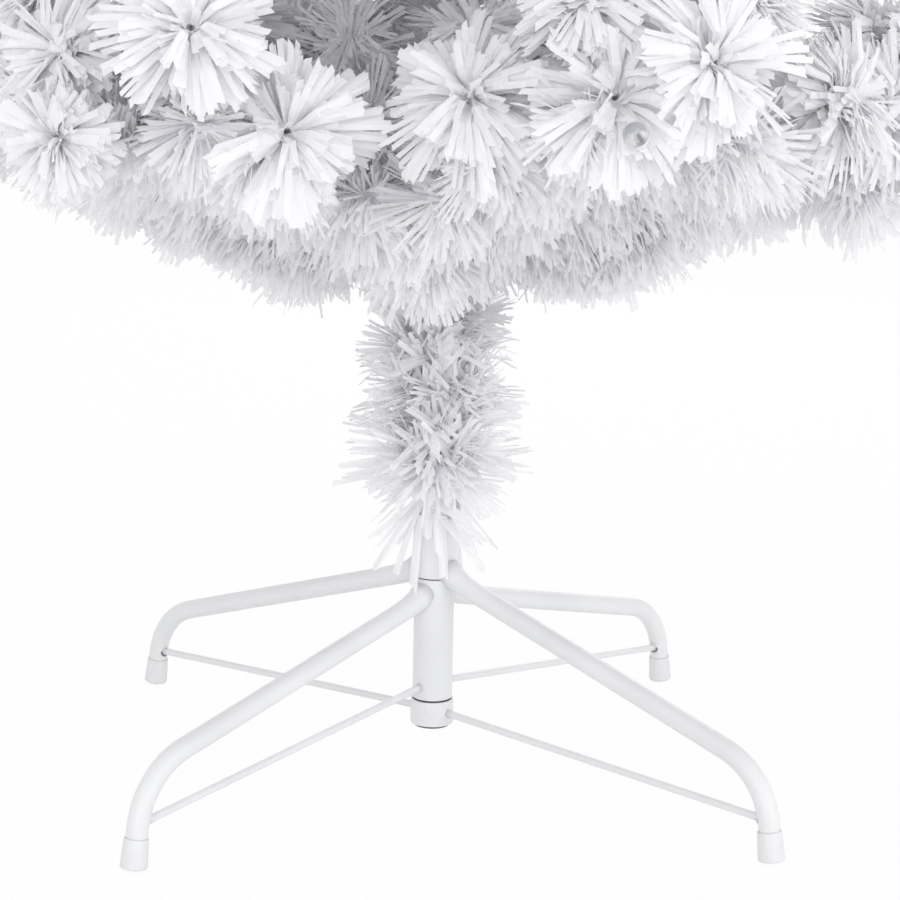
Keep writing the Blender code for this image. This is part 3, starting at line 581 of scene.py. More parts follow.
def brush_field(rng, start, end, thick, per_metre, length, lean, width, clump=5, spread=0.20,
                stray=0.0, droop=0.0):
    """Needles that stand out from a straight stem like a bottle brush.

    They are wound on in clumps. A clump's azimuth steps on by the golden angle, its needles
    share it but for a small spread, and each leans from square to the stem towards its end.
    Clumps and, by a third as much, needles stray from that line by a random vector, and all
    droop by a share of straight down.
    """
    start, end = np.asarray(start, float), np.asarray(end, float)
    span = np.linalg.norm(end - start)
    clumps = max(2, int(span * per_metre / clump))
    axis = (end - start) / span
    first, second = square_pair(axis)
    shape = (clumps, clump)
    at = (np.arange(clumps)[:, None] + rng.uniform(-0.5, 0.5, (clumps, 1))) / clumps
    at = np.clip(at + rng.normal(0, 0.0025, shape) / span, 0, 1).ravel()
    turn = GOLDEN_ANGLE * np.arange(clumps)[:, None] + rng.normal(0, 0.35, (clumps, 1))
    azimuth = (turn + rng.normal(0, spread, shape)).ravel()
    leans = np.radians(rng.normal(lean, 9.0, (clumps, 1)) + rng.normal(0, 5.0, shape)).ravel()
    count = azimuth.size
    out, round_ = spokes(azimuth, first, second)
    line = blend(leans, out, axis)
    line = unit(line + stray * (np.repeat(rng.normal(0, 1, (clumps, 3)), clump, axis=0)
                                + rng.normal(0, 0.33, (count, 3)))
                - UP * droop)
    roll = rng.normal(0, 0.5, count)
    back = np.cross(round_, line)
    long = length * np.repeat(rng.uniform(0.8, 1.1, clumps), clump) * rng.uniform(0.85, 1.1, count)
    root = start + at[:, None] * (end - start) + out * thick * 0.6
    bend = (axis * rng.normal(0.0, 0.07, (count, 1)) + round_ * rng.normal(0, 0.07, (count, 1))
            - UP * 0.05)
    return strips_of(rng, root, line, bend, blend(roll, round_, back), long, width, (0.7, 1.35),
                     0.4, (clumps, 0.55, 0.18, 0.14))


def add_stem(batch, start, end, thick, end_thick, finish, sides=7):
    """A twig's stem, which tapers along a straight line and swells a little where it is wound."""
    start, end = np.asarray(start, float), np.asarray(end, float)
    steps = max(4, int(np.linalg.norm(end - start) / STEM_STEP))
    t = np.linspace(0, 1, steps)
    path = start + t[:, None] * (end - start)
    swell = 1 + 0.09 * np.sin(t * steps * 2.4)
    radii = (thick + t * (end_thick - thick)) * swell
    across, _ = square_pair(unit(end - start))
    add_grid(batch, piped(path, radii, sides, across), 0.4, finish)


def add_light(batch, root, axis, tuft, size):
    """A light in a tuft: a lead, a holder, and a milky dome over a pale bulb and a dark pin.

    It stands below the tuft's middle and leans back towards it. The dome is a cylinder that
    ends in half a sphere, and the bulbs are cylinders with a broken edge, off its middle.
    """
    lead = unit(np.asarray(axis, float))
    down = unit(lead * lead[2] - UP)
    aside = unit(np.cross(UP, lead))
    middle = root + tuft * (lead * LIGHT_AHEAD + down * LIGHT_BELOW + aside * LIGHT_ASIDE)
    axis = unit(lead - 0.5 * aside - 0.45 * down)
    first, _ = square_pair(axis)
    turn = np.eye(4)
    turn[:3, 0], turn[:3, 1], turn[:3, 2] = first, np.cross(axis, first), axis
    turn[:3, 3] = middle
    arc = np.linspace(0, math.pi / 2, 6)[1:-1]
    lens = [(size, 0.0), (size, size * DOME_WALL)] + [
        (size * math.cos(a), size * (DOME_WALL + math.sin(a))) for a in arc] + [
        (size * 0.12, size * (DOME_WALL + 0.99))]
    add_grid(batch, placed(turned(lens, 20), turn), finish=LENS)
    low = turn[:3, :3].T @ (down + 0.9 * aside)
    for radius, shift, rise, finish in BULBS:
        bulb = turned([(size * radius, 0.05 * size), (size * radius, size * rise),
                       (size * radius * 0.7, size * (rise + radius * 0.7))], 10)
        bulb[..., :2] += unit(low[:2]) * size * shift
        add_grid(batch, placed(bulb, turn), finish=finish)
    add_grid(batch, placed(turned(size * np.array(HOLDER_OUTLINE), 10), turn), finish=HOLDER)
    add_stem(batch, root - lead * tuft * 0.2, middle - axis * size * 1.4, LEAD_RADIUS,
             LEAD_RADIUS, HOLDER, sides=5)


class Arm:
    """The frame of one branch: its hinge pin, and the directions along, beside and above."""

    def __init__(self, tier, number):
        self.name = f"{tier + 1}_{number + 1}"
        joint = next(j for j in frame["joints"] if j["name"] == f"branch_{self.name}_fold")
        pin = np.array(joint["pos_m"], float)
        azimuth = math.atan2(pin[1], pin[0])
        incline = math.radians(bpy.context.scene.tree_looks.branch_incline)
        self.joint = joint["name"]
        self.body = joint["child"]
        self.pin = pin
        self.along = np.array([math.cos(incline) * math.cos(azimuth),
                               math.cos(incline) * math.sin(azimuth), math.sin(incline)])
        self.beside = np.array([-math.sin(azimuth), math.cos(azimuth), 0.0])
        self.above = np.cross(self.along, self.beside)
        self.length = (TIER_REACHES[tier] - PIVOT_RADIUS) / math.cos(incline)
        self.tuft = TIER_TUFTS[tier]
        self.fullness = TIER_FULLNESS[tier]

    def point(self, along, beside, above):
        """A point given by shares of the branch's length."""
        return self.pin + self.length * (along * self.along + beside * self.beside
                                         + above * self.above)


def in_pairs(step, *rows):
    """Each row of a twig table, then its mirror image, which sits a step further out."""
    return tuple(twig for root, tip, beside, above, size in rows for twig in (
        (root, tip, beside, above, size),
        (round(root + step, 3), round(tip + step, 3), -beside, above, size)))


# Twigs of a branch, as shares of its length: root along the wire, then tip along, beside and
# above it, and the size of the tuft as a share of the tier's own. A twig of no size ends in a
# spray of needles. The first is the wire's own end
SIDE_TWIGS = (
    (0.045, 0.95, 0.0, 0.0, 1.0), *in_pairs(0, (0.46, 0.72, 0.25, 0.04, 0.85)),
    (0.66, 0.90, 0.11, 0.10, 0.80), (0.64, 0.89, -0.12, 0.11, 0.80),
    (0.60, 0.87, 0.13, -0.075, 0.82), (0.58, 0.85, -0.135, -0.07, 0.82),
    *in_pairs(0.02, (0.30, 0.36, 0.24, 0.05, 0), (0.12, 0.16, 0.16, -0.035, 0),
              (0.20, 0.25, 0.20, -0.045, 0), (0.30, 0.36, 0.22, -0.040, 0),
              (0.42, 0.48, 0.24, -0.030, 0), (0.56, 0.64, 0.22, -0.020, 0),
              (0.72, 0.80, 0.16, -0.015, 0), (0.42, 0.48, 0.22, 0.09, 0)),
)
UPPER_TWIGS = (
    *in_pairs(0, (0.22, 0.47, 0.12, 0.25, 0.76)),
    (0.52, 0.78, 0.01, 0.17, 0.80), (0.07, 0.23, 0.0, 0.16, 0.62),
)
TOP_TIER_SIDE_TWIGS = (
    (0.045, 0.93, 0.0, 0.0, 1.0), *in_pairs(0, (0.46, 0.72, 0.25, 0.04, 0.85)),
    (0.50, 0.80, 0.0, -0.10, 0.78),
    *in_pairs(0, (0.20, 0.42, 0.24, 0.03, 0.68), (0.14, 0.18, 0.18, -0.035, 0),
              (0.34, 0.40, 0.24, -0.035, 0), (0.62, 0.70, 0.18, -0.02, 0)),
)
TOP_TIER_UPPER_TWIGS = ((0.30, 0.50, 0.0, 0.26, 0.85), (0.10, 0.30, -0.06, 0.24, 0.60))
# Twigs that were bent by hand when the branches were opened out: their places in the rows above
BENT_SIDE_TWIGS = {
    "1_1": {0: (0.045, 0.95, 0.015, 0.045, 0.86), 1: (0.25, 0.76, 0.345, 0.05, 0.85),
            2: (0.46, 0.72, -0.265, 0.071, 0.86), 3: (0.66, 0.90, 0.11, 0.17, 0.75),
            4: (0.60, 0.86, -0.13, 0.17, 0.70), 5: (0.64, 0.72, 0.22, -0.02, 0),
            6: (0.58, 0.87, -0.106, 0.020, 0.86)},
    "1_6": {0: (0.045, 0.92, -0.03, 0.05, 0.62), 1: (0.46, 0.72, 0.27, 0.006, 0.90),
            3: (0.66, 0.90, 0.21, 0.10, 0.84), 4: (0.64, 0.88, -0.14, 0.16, 0.70),
            5: (0.64, 0.72, 0.22, -0.02, 0), 6: (0.60, 0.92, 0.01, -0.085, 0.62)},
    "1_2": {2: (0.46, 0.76, -0.26, 0.03, 0.85), 17: (0.50, 0.68, -0.21, -0.085, 0),
            19: (0.66, 0.84, -0.17, -0.075, 0)},
}
BENT_UPPER_TWIGS = {
    "1_6": {0: (0.22, 0.47, 0.12, 0.25, 0), 2: (0.52, 0.78, 0.01, 0.21, 0.74)},
    "1_2": {2: (0.52, 0.78, -0.14, 0.15, 0.80)},
}
# Where a light's lens starts, from the neck of its tuft, as shares of the tuft's radius
LIGHT_AHEAD = 0.42
LIGHT_BELOW = 0.61
LIGHT_ASIDE = 0.17
LIGHT_SIZE = 0.142        # radius of its lens, by the same measure
LEAD_RADIUS = 0.0010      # its lead's, in metres
# Parts of a light, as shares of its lens's radius: the height of the dome's straight wall, each
# bulb's radius, place off the middle, height and finish, and the holder's (radius, height)
DOME_WALL = 0.3
BULBS = ((0.26, 0.28, 0.50, HOLDER), (0.13, 0.50, 0.62, PIN))
HOLDER_OUTLINE = ((0.3, -1.5), (0.5, -0.9), (0.9, -0.35), (0.9, -0.02))


def dress_tuft_twig(batch, rng, root, tip, tuft, looks, fullness, thick, light):
    """A twig: its stem, the needles round it and the tuft at its end."""
    axis = unit(tip - root)
    neck = tip - axis * tuft * 0.10
    add_stem(batch, root, neck - axis * tuft * 0.22, thick, thick * 0.76, TAPE)
    needles = brush_field(rng, root, neck - axis * tuft * 0.05, thick,
                          looks.needles_per_metre * fullness, looks.needle_length, 36.0,
                          looks.needle_width / math.sqrt(fullness))
    add_needles(batch, needles)
    add_ribbons(batch, tuft_field(rng, neck, axis, tuft, looks.strip_width, fullness))
    if light:
        add_light(batch, neck, axis, tuft, tuft * LIGHT_SIZE)


def dress_spray_twig(batch, rng, root, tip, looks, fullness):
    """A twig that ends in a spray of needles and has no tuft."""
    axis = unit(tip - root)
    add_stem(batch, root, tip, SPRAY_WRAP, 0.0016, TAPE)
    rate = looks.needles_per_metre * fullness
    width = looks.needle_width / math.sqrt(fullness)
    round_it = brush_field(rng, root, tip, SPRAY_WRAP, rate * 1.15, looks.needle_length, 35.0,
                           width, stray=0.45, droop=0.5)
    spray = brush_field(rng, tip - axis * 0.025, tip, 0.0015, rate * 1.2,
                        looks.needle_length * 1.05, 45.0, width, stray=0.5, droop=0.6)
    add_needles(batch, merge(round_it, spray))


def finished(batch, name, keys, body, nodes, smooth=True):
    """The piece of a batch with its finishes, on its body and in place of CAD nodes."""
    made = finishes()
    piece = batch.write(name, [made[key] for key in keys], smooth)
    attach(piece, body)
    if nodes:
        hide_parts(*nodes)
    return piece


FOLIAGE_FINISHES = ("white_film_strip", "white_film_needle", "wound_stem_tape")
LIGHT_FINISHES = ("clear_light_lens", "white_bracket_plastic", "dull_rivet_steel")


def dressed(batch, name, body, nodes=(), lit=True):
    """The foliage piece of a batch, with the finishes of its lights if it has any."""
    keys = FOLIAGE_FINISHES + (LIGHT_FINISHES if lit else ())
    return finished(batch, name, keys, body, nodes, smooth=False)


def dress_twigs(batch, rng, arm, rows, bent, looks, lit):
    """All twigs of one piece of a branch, each a little off its place in the rows."""
    for n, row in enumerate(rows):
        root, along, beside, above, size = bent.get(n, row)
        along, beside, above = (along, beside, above) + rng.normal(0, 0.01, 3) * (n not in bent)
        start, tip = arm.point(root, 0, 0), arm.point(along, beside, above)
        if size:
            thick = WIRE_WRAP if root < WIRE_ROOT else TWIG_WRAP
            dress_tuft_twig(batch, rng, start, tip, arm.tuft * size, looks, arm.fullness, thick,
                            n in lit)
        else:
            dress_spray_twig(batch, rng, start, tip, looks, arm.fullness)


def dress_arm(tier, number, looks):
    """Both foliage pieces of one branch: wire and side twigs, then the upper twigs."""
    arm = Arm(tier, number)
    top = tier == TIERS - 1
    node = f"foliage_{arm.name}"
    rng = np.random.default_rng(BRANCH_SEED + 10 * tier + number)

    batch = Batch()
    dress_twigs(batch, rng, arm, TOP_TIER_SIDE_TWIGS if top else SIDE_TWIGS,
                BENT_SIDE_TWIGS.get(arm.name, {}), looks, (4,) if number % 2 else (6,))
    piece = dressed(batch, f"foliage_sides_{arm.name}", arm.body, [node])
    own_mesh(piece)

    batch = Batch()
    dress_twigs(batch, rng, arm, TOP_TIER_UPPER_TWIGS if top else UPPER_TWIGS,
                BENT_UPPER_TWIGS.get(arm.name, {}), looks, (2,))
    piece = dressed(batch, f"foliage_upper_{arm.name}", arm.body, [node])
    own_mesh(piece)


# Stand


def leg_line(hub_radius, hub_height, slope):
    """Middle line of a leg in its upright plane, as (distance out, height) points.

    It runs straight down its slope, round an arc that touches both straight lines, and
    straight down its lean into the foot.
    """
    slope, lean = math.radians(slope), math.radians(LEG_LEAN)
    outward = np.array([math.cos(slope), -math.sin(slope)])
    downward = np.array([math.sin(lean), -math.cos(lean)])
    hub, foot = np.array([hub_radius, hub_height]), np.array([LEG_CIRCLE, 0.0])
    span = foot - hub
    run = ((span[0] * downward[1] - span[1] * downward[0])
           / (outward[0] * downward[1] - outward[1] * downward[0]))
    turn = math.acos(float(outward @ downward))
    start = hub + outward * (run - LEG_BEND * math.tan(turn / 2))
    centre = start + np.array([outward[1], -outward[0]]) * LEG_BEND
    angle = -turn * np.linspace(0, 1, 22)[:, None]
    spoke = start - centre
    arc = centre + np.concatenate([
        np.cos(angle) * spoke[0] - np.sin(angle) * spoke[1],
        np.sin(angle) * spoke[0] + np.cos(angle) * spoke[1]], axis=1)
    inner = hub - outward * 0.004
    flat = inner + np.linspace(0, 1, 30)[:-1, None] * (start - inner)
    end = foot - downward * (CAP_FLOOR + 0.0005)
    drop = arc[-1] + np.linspace(0, 1, 10)[1:, None] * (end - arc[-1])
    return np.concatenate([flat, arc, drop])


def spun(points, degrees):
    """Points turned about the tree's axis."""
    a = math.radians(degrees)
    turn = np.array([[math.cos(a), -math.sin(a), 0], [math.sin(a), math.cos(a), 0], [0, 0, 1]])
    return points @ turn.T


def in_plane(line):
    """(distance out, height) points as points of the XZ plane."""
    return np.stack([line[:, 0], np.zeros(len(line)), line[:, 1]], axis=1)


def add_brace(batch, start, end, spin):
    """A brace: a straight rod that is a little thicker where it is welded, at both ends."""
    t = np.linspace(0, 1, 40)
    rod = start + t[:, None] * (end - start)
    flare = BRACE_FLARE * (np.exp(-t / BRACE_FADE) + np.exp(-(1 - t) / BRACE_FADE))
    add_grid(batch, spun(piped(rod, BRACE_RADIUS + flare, 20, (0, 1, 0)), spin))


def add_brace_shade_ring(batch, leg_out, height, spin):
    """Painted shade: a dark ring on the leg round a brace's end, set a little low, for the shadow of
    the gap there.

    It is a thin ring that lies on the leg's round side: at a sideways distance y, it is the
    root of the leg's radius squared less y squared in from the leg's middle line.
    """
    around = np.linspace(0, math.tau, 32, endpoint=False)[:, None]
    section = np.linspace(0, math.tau, 6, endpoint=False)[None, :]
    away = BRACE_SHADE_RADIUS + BRACE_SHADE_RIM[0] * np.cos(section)
    aside, up = away * np.cos(around), away * np.sin(around)
    inward = np.sqrt(LEG_RADIUS ** 2 - aside ** 2) + BRACE_SHADE_RIM[1] * np.sin(section) + 0.0001
    ring = np.stack([leg_out - inward, aside, height + up], axis=-1)
    add_grid(batch, spun(ring, spin), finish=BRACE_SHADE_SLOT, cap=False, close_rows=True)


def leg_rings(line, hub_radius, frame_number):
    """Rings of a leg, which rises and widens into its weld.

    Both fall off as e to the minus distance from the hub over the weld's reach. On the side
    that another leg swings past, the rings are cut level at the leg's own height.
    """
    path = in_plane(line)
    fade = np.exp(-np.clip(path[:, 0] - hub_radius + WELD_START, 0, None) / WELD_REACH)
    path[:, 2] += WELD_RISE * fade
    weld = WELD_FLARE * fade
    rings = piped(path, LEG_RADIUS + weld, 40, (0, 1, 0))
    rings[:, :, 1] *= ((LEG_RADIUS + weld * WELD_ACROSS) / (LEG_RADIUS + weld))[:, None]
    over = rings[..., 2] - path[:, None, 2]
    towards = over < 0 if frame_number == 0 else over > 0
    near = np.clip(over, -WELD_CLEAR, WELD_CLEAR)
    rings[..., 2] = path[:, None, 2] + np.where(towards, near, over)
    return rings


def cap_rings():
    """Rings of a foot cap: a turned outline that leans with its leg and stands flat."""
    radius = LEG_RADIUS + 0.0003
    outer = radius + CAP_WALL
    lip = radius + 0.0004
    outline = [
        (outer * 0.55, CAP_TILT), (outer - 0.0016, CAP_TILT),
        (outer - 0.0006, CAP_TILT + 0.0003), (outer - 0.0001, CAP_TILT + 0.0010),
        (outer, CAP_TILT + 0.0020), (outer - 0.0002, 0.0060),
        ((outer + lip) / 2, 0.0150), (lip + 0.0003, 0.0222), (lip, 0.0232),
        (radius + 0.0001, 0.0236), (radius + 0.0001, 0.0120)]
    lean = np.array(Matrix.Translation((LEG_CIRCLE, 0, 0))
                    @ Matrix.Rotation(-math.radians(LEG_LEAN), 4, "Y"))
    rings = placed(turned(outline, 40), lean)
    rings[..., 2] = np.maximum(rings[..., 2], 0.0)
    return rings


def hub_of(node):
    """Radius, bottom and top of a collar, sleeve or ring."""
    low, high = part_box(node)
    return (high.x - low.x) / 2, low.z, high.z


def dress_legs():
    """Legs with their welds, braces with the holes that they go into and a dark ring of painted
    shade round each, and foot caps.
    """
    collar_radius, collar_bottom, _ = hub_of("upper_collar")
    sleeve_radius, sleeve_bottom, sleeve_top = hub_of("fold_sleeve")
    ring_radius, ring_bottom, ring_top = hub_of("bottom_ring")
    hubs = ((collar_radius, collar_bottom + COLLAR_LEG_RISE),
            (sleeve_radius, sleeve_top - SLEEVE_LEG_DROP))
    brace_hubs = ((ring_radius, (ring_bottom + ring_top) / 2),
                  (sleeve_radius, sleeve_bottom + SLEEVE_BRACE_RISE))
    coat = "stand_powder_coat"
    for frame_number, turn in enumerate(FRAME_TURNS):
        body = LEG_BODIES[frame_number]
        hub_radius, hub_height = hubs[frame_number]
        line = leg_line(hub_radius, hub_height, LEG_SLOPES[frame_number])
        rings = leg_rings(line, hub_radius, frame_number)
        brace_radius, brace_height = brace_hubs[frame_number]
        end_height = BRACE_ENDS[frame_number]
        rising = line[np.argsort(line[:, 1])]
        leg_out = float(np.interp(end_height, rising[:, 1], rising[:, 0]))
        start = np.array([brace_radius - 0.001, 0, brace_height])
        end = np.array([leg_out - LEG_RADIUS + 0.001, 0, end_height])
        for side, name in enumerate(LEG_NAMES[frame_number]):
            spin = turn + 180.0 * side
            batch = Batch()
            add_grid(batch, spun(rings, spin))
            finished(batch, f"leg_tube_{name}", [coat], body, [f"leg_{name}"])
            batch = Batch()
            add_brace(batch, start, end, spin)
            # A dark ring on the leg round the brace's end, set low: painted shade of the gap there.
            add_brace_shade_ring(batch, leg_out, end_height - BRACE_SHADE_DROP, spin)
            finished(batch, f"brace_rod_{name}", [coat, "dull_rivet_steel"], body,
                     [f"brace_{name}"])
            batch = Batch()
            add_grid(batch, spun(cap_rings(), spin))
            finished(batch, f"foot_cap_{name}", ["white_cap_plastic"], body, [f"foot_{name}"])


def dress_hub():
    """Collar, sleeve and ring as smooth turned pieces with round outer edges."""
    arc = np.linspace(0, math.pi / 2, 5)
    for node, body in (("upper_collar", "root"), ("fold_sleeve", "lower_frame"),
                       ("bottom_ring", "root")):
        outer, low, high = hub_of(node)
        low += HUB_GAP * (node != "bottom_ring")
        high -= HUB_GAP * (node != "upper_collar")
        flat, bevel = outer - COLLAR_EDGE, COLLAR_BORE + BORE_EDGE
        outline = ([(bevel, low)]
                   + [(flat + COLLAR_EDGE * math.sin(a), low + COLLAR_EDGE * (1 - math.cos(a)))
                      for a in arc]
                   + [(flat + COLLAR_EDGE * math.cos(a), high - COLLAR_EDGE * (1 - math.sin(a)))
                      for a in arc]
                   + [(bevel, high), (COLLAR_BORE, high - BORE_EDGE),
                      (COLLAR_BORE, low + BORE_EDGE)])
        batch = Batch()
        add_grid(batch, turned(outline, 64), cap=False, close_rows=True)
        finished(batch, f"turned_{node}", ["stand_powder_coat"], body, [node])


# Finish of each CAD node that stays in view, by how its name starts
NODE_FINISHES = (
    ("wire_", "plain_branch_wire"), ("hinge_ring", "white_bracket_plastic"),
    # The socket tube gets near-black steel: painted shade of the gaps at the hub.
    ("cable_gland", "white_bush_rubber"), ("socket_tube", "bare_socket_steel"),
    ("pole_", "sprayed_pole_paint"), ("foot_", "white_cap_plastic"), ("", "stand_powder_coat"),
)


def paint_nodes():
    """Give every CAD node that stays in view its own finish."""
    made = finishes()
    for name, node in frame["nodes"].items():
        key = next(key for start, key in NODE_FINISHES if name.startswith(start))
        for slot in node.material_slots:
            slot.material = made[key]


# Trunk and crown


GARLAND_BUNDLES = 150
BUNDLE_STRIPS = 7
LYING_STRIPS = 460
STRAY_STRIPS = 16
GARLAND_HEM = 0.034      # where the lowest bundles start, above the garland's bottom
BACK_TURN = 172.0        # the strips over the collar come again behind, so far round
# Strips of the garland that hang over the collar: azimuth, distance from the pole's axis and
# height above the collar's top, at the root and at the tip
FALLEN_STRIPS = (
    (-127.0, 0.0150, 0.018, -138.0, 0.0390, -0.034), (-140.0, 0.0160, 0.016, -142.0, 0.0400, -0.045),
    (-106.0, 0.0150, 0.012, -47.0, 0.0560, -0.034), (-84.0, 0.0150, 0.013, -48.0, 0.0600, -0.013),
    (-113.0, 0.0160, 0.013, -103.0, 0.0260, -0.014), (-146.0, 0.0160, 0.012, -143.0, 0.0590, -0.035),
    (-126.0, 0.0210, 0.004, -128.0, 0.0280, -0.056), (-76.0, 0.0210, 0.004, -73.0, 0.0250, -0.048),
    (-101.0, 0.0150, 0.012, -59.0, 0.0520, 0.006), (-92.0, 0.0200, 0.006, -86.0, 0.0290, -0.026),
)


def fallen_field(rng, rim, looks):
    """Strips that hang over the collar in pairs, at the front, and again at the back.

    Each runs from its root to its tip and sags a little, with its flat side out.
    """
    rows = np.array(FALLEN_STRIPS)
    rows = np.concatenate([rows, rows + np.array([BACK_TURN, 0, 0, BACK_TURN, 0, 0])])
    rows = np.repeat(rows, 2, axis=0)
    count = len(rows)
    turn = np.radians(rows[:, [0, 3]] + rng.normal(0, 1.5, (count, 2)))
    ends = np.stack([np.cos(turn) * rows[:, [1, 4]], np.sin(turn) * rows[:, [1, 4]],
                     rim + rows[:, [2, 5]]], axis=2)
    root, tip = ends[:, 0], ends[:, 1]
    out, _ = spokes(turn[:, 1])
    length = np.linalg.norm(tip - root, axis=1)
    line = (tip - root) / length[:, None]
    flat = unit(np.cross(line, out))
    sag = UP * -0.10
    apart = np.tile([-0.0015, 0.0015], count // 2) + rng.normal(0, 0.0004, count)
    return strips_of(
        rng, root + flat * apart[:, None], line - sag, np.broadcast_to(sag, line.shape),
        unit(flat + rng.normal(0, 0.2, (count, 1)) * out), length * rng.uniform(0.92, 1.04, count),
        looks.strip_width, (0.95, 1.15), 0.3, (0.6, 1.0))


def stray_field(rng, bottom, looks):
    """Single strips that have come loose and hang over the collar, all round the pole.

    Each leaves the pole at the garland's end, in a direction that falls by its own angle.
    """
    count = STRAY_STRIPS
    azimuth = math.tau * (np.arange(count) + rng.uniform(-0.3, 0.3, count)) / count
    fall = np.radians(rng.uniform(26, 62, count))
    out, round_ = spokes(azimuth)
    line = unit(np.cos(fall)[:, None] * out - np.sin(fall)[:, None] * UP
                + rng.normal(0, 0.9, (count, 1)) * round_)
    root = out * 0.0150 + UP * (bottom + rng.uniform(-0.010, 0.016, (count, 1)))
    return strips_of(
        rng, root, line, rng.normal(0, 0.12, (count, 1)) * round_ - UP * 0.05,
        unit(round_ + rng.normal(0, 0.4, (count, 1)) * out),
        looks.garland_strip_length * rng.uniform(0.7, 1.0, count), looks.strip_width,
        (0.8, 1.1), 0.4, (0.5, 0.9))


def lying_field(rng, bottom, top, looks):
    """Strips that lie over the garland's face, most of them upright, and cross each other.

    Each starts at a random height and a little out from the pole. It runs along the face, at a
    slant from upright, and turns outwards by a smaller share, with its flat side out.
    """
    count = LYING_STRIPS
    azimuth = rng.uniform(0, math.tau, count)
    out, round_ = spokes(azimuth)
    slant = rng.normal(0, 0.65, (count, 1))
    rise = rng.uniform(0.0, 1.0, (count, 1))
    climb = np.where(rng.random((count, 1)) < 0.75, 1.0, -0.6)
    line = unit(climb * UP + slant * round_ + rng.uniform(0.10, 0.75, (count, 1)) * out)
    flat = unit(np.cross(line, out))
    root = out * rng.uniform(0.016, 0.030, (count, 1)) + UP * (
        bottom + 0.012 + (top - bottom - 0.030) * rise)
    return strips_of(
        rng, root, line,
        rng.normal(0, 0.10, (count, 1)) * round_ + rng.normal(0, 0.06, (count, 1)) * UP,
        unit(flat + rng.normal(0, 0.35, (count, 1)) * out),
        looks.garland_strip_length * rng.uniform(0.45, 0.85, count), looks.strip_width,
        (0.75, 1.1), 0.4, (0.5, 1.0))


def add_tape(batch, outline):
    """Tape wound on the pole: a closed outline of (radius, height) turned round it."""
    add_grid(batch, turned(outline, 24), 0.3, TAPE, cap=False, close_rows=True)


def dress_garland(looks):
    """The garland round the lower pole.

    Strips leave the pole in flat bundles. The higher ones stand up like a brush, the middle
    ones stand out, and the lowest hang over the collar.
    """
    rng = np.random.default_rng(GARLAND_SEED)
    low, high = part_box("trunk_garland")
    bottom, top = low.z + GARLAND_HEM, high.z
    batch = Batch()
    bundles, strips = GARLAND_BUNDLES, BUNDLE_STRIPS
    shape = (bundles, strips)
    rise = rng.uniform(0.03, 1, (bundles, 1))
    place = np.linspace(-1, 1, strips)[None, :]
    height = bottom + (top - bottom) * rise + rng.normal(0, 0.003, shape)
    lift = np.interp(rise, [0, 0.20, 0.50, 0.80, 1], [-4, 10, 34, 60, 76])
    loose = np.interp(rise, [0.08, 0.35], [6.0, 1.5])
    turn = GOLDEN_ANGLE * np.arange(bundles)[:, None] + rng.normal(0, 0.4, (bundles, 1))
    azimuth = (turn + rng.normal(0, 0.11, (bundles, 1)) * place
               + loose * rng.normal(0, 0.05, shape)).ravel()
    lift = np.radians(lift + rng.normal(0, 25, (bundles, 1)) + rng.normal(0, 6, (bundles, 1))
                      * place + loose * rng.normal(0, 2.5, shape)).ravel()
    count = azimuth.size
    out, round_ = spokes(azimuth)
    swerve = np.repeat(rng.normal(0, 0.85, bundles), strips)[:, None]
    line = unit(np.cos(lift)[:, None] * out + np.sin(lift)[:, None] * UP + swerve * round_)
    roll = np.repeat(rng.normal(0, 0.6, bundles), strips) + rng.normal(0, 0.10, count)
    back = np.cross(round_, line)
    length = looks.garland_strip_length * np.repeat(rng.uniform(0.72, 1.12, bundles), strips)
    bend = (out * 0.04 + np.repeat(rng.normal(0, 0.12, bundles), strips)[:, None] * round_
            - UP * np.repeat(rng.uniform(0.0, 0.22, bundles), strips)[:, None])
    field = strips_of(
        rng, out * 0.0135 + UP * height.ravel()[:, None], line, bend,
        blend(roll, round_, back), length * rng.uniform(0.88, 1.05, count), looks.strip_width,
        (0.75, 1.05), 0.4, (bundles, 0.6, 0.18, 0.10))
    add_ribbons(batch, field, rings=4, root_share=0.7)
    singles = brush_field(rng, (0, 0, bottom), (0, 0, top), POLE_SKIN, 900, 0.052, 25.0,
                          looks.strip_width * 0.8, clump=3, spread=0.3, stray=0.3)
    add_ribbons(batch, singles, root_share=0.7)
    add_ribbons(batch, lying_field(rng, bottom, top, looks), rings=4, root_share=0.8)
    add_ribbons(batch, stray_field(rng, bottom, looks), rings=4, root_share=0.8)
    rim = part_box("upper_collar")[1].z
    add_ribbons(batch, fallen_field(rng, rim, looks), rings=5, root_share=0.9)
    add_tape(batch, [(TAPE_BORE, bottom - 0.012), (0.0150, bottom - 0.011), (0.0152, top),
                     (TAPE_BORE, top + 0.001)])
    dressed(batch, "garland_strips", "trunk_lower", ["trunk_garland"], lit=False)


# Bare stretches of the pole between the hinge rings, from bottom to top, on each half of it
BARE_STRETCHES = (("trunk_lower", ((0.440, 0.640), (0.672, 0.775))),
                  ("trunk_upper", ((0.786, 0.880), (0.912, 1.100))))


def dress_trunk(looks):
    """Needles wound round the bare pole between the tiers, on each half of the pole."""
    for number, (body, stretches) in enumerate(BARE_STRETCHES):
        rng = np.random.default_rng(TRUNK_SEED + number)
        batch = Batch()
        for low, high in stretches:
            needles = brush_field(rng, (0, 0, low), (0, 0, high), POLE_SKIN, 5600, 0.036, 25.0,
                                  looks.needle_width * 1.2, spread=0.3)
            add_needles(batch, needles)
            add_tape(batch, [(TAPE_BORE, low), (0.0146, low + 0.001), (0.0146, high - 0.001),
                             (TAPE_BORE, high)])
        dressed(batch, f"trunk_needles_{body[6:]}", body, lit=False)


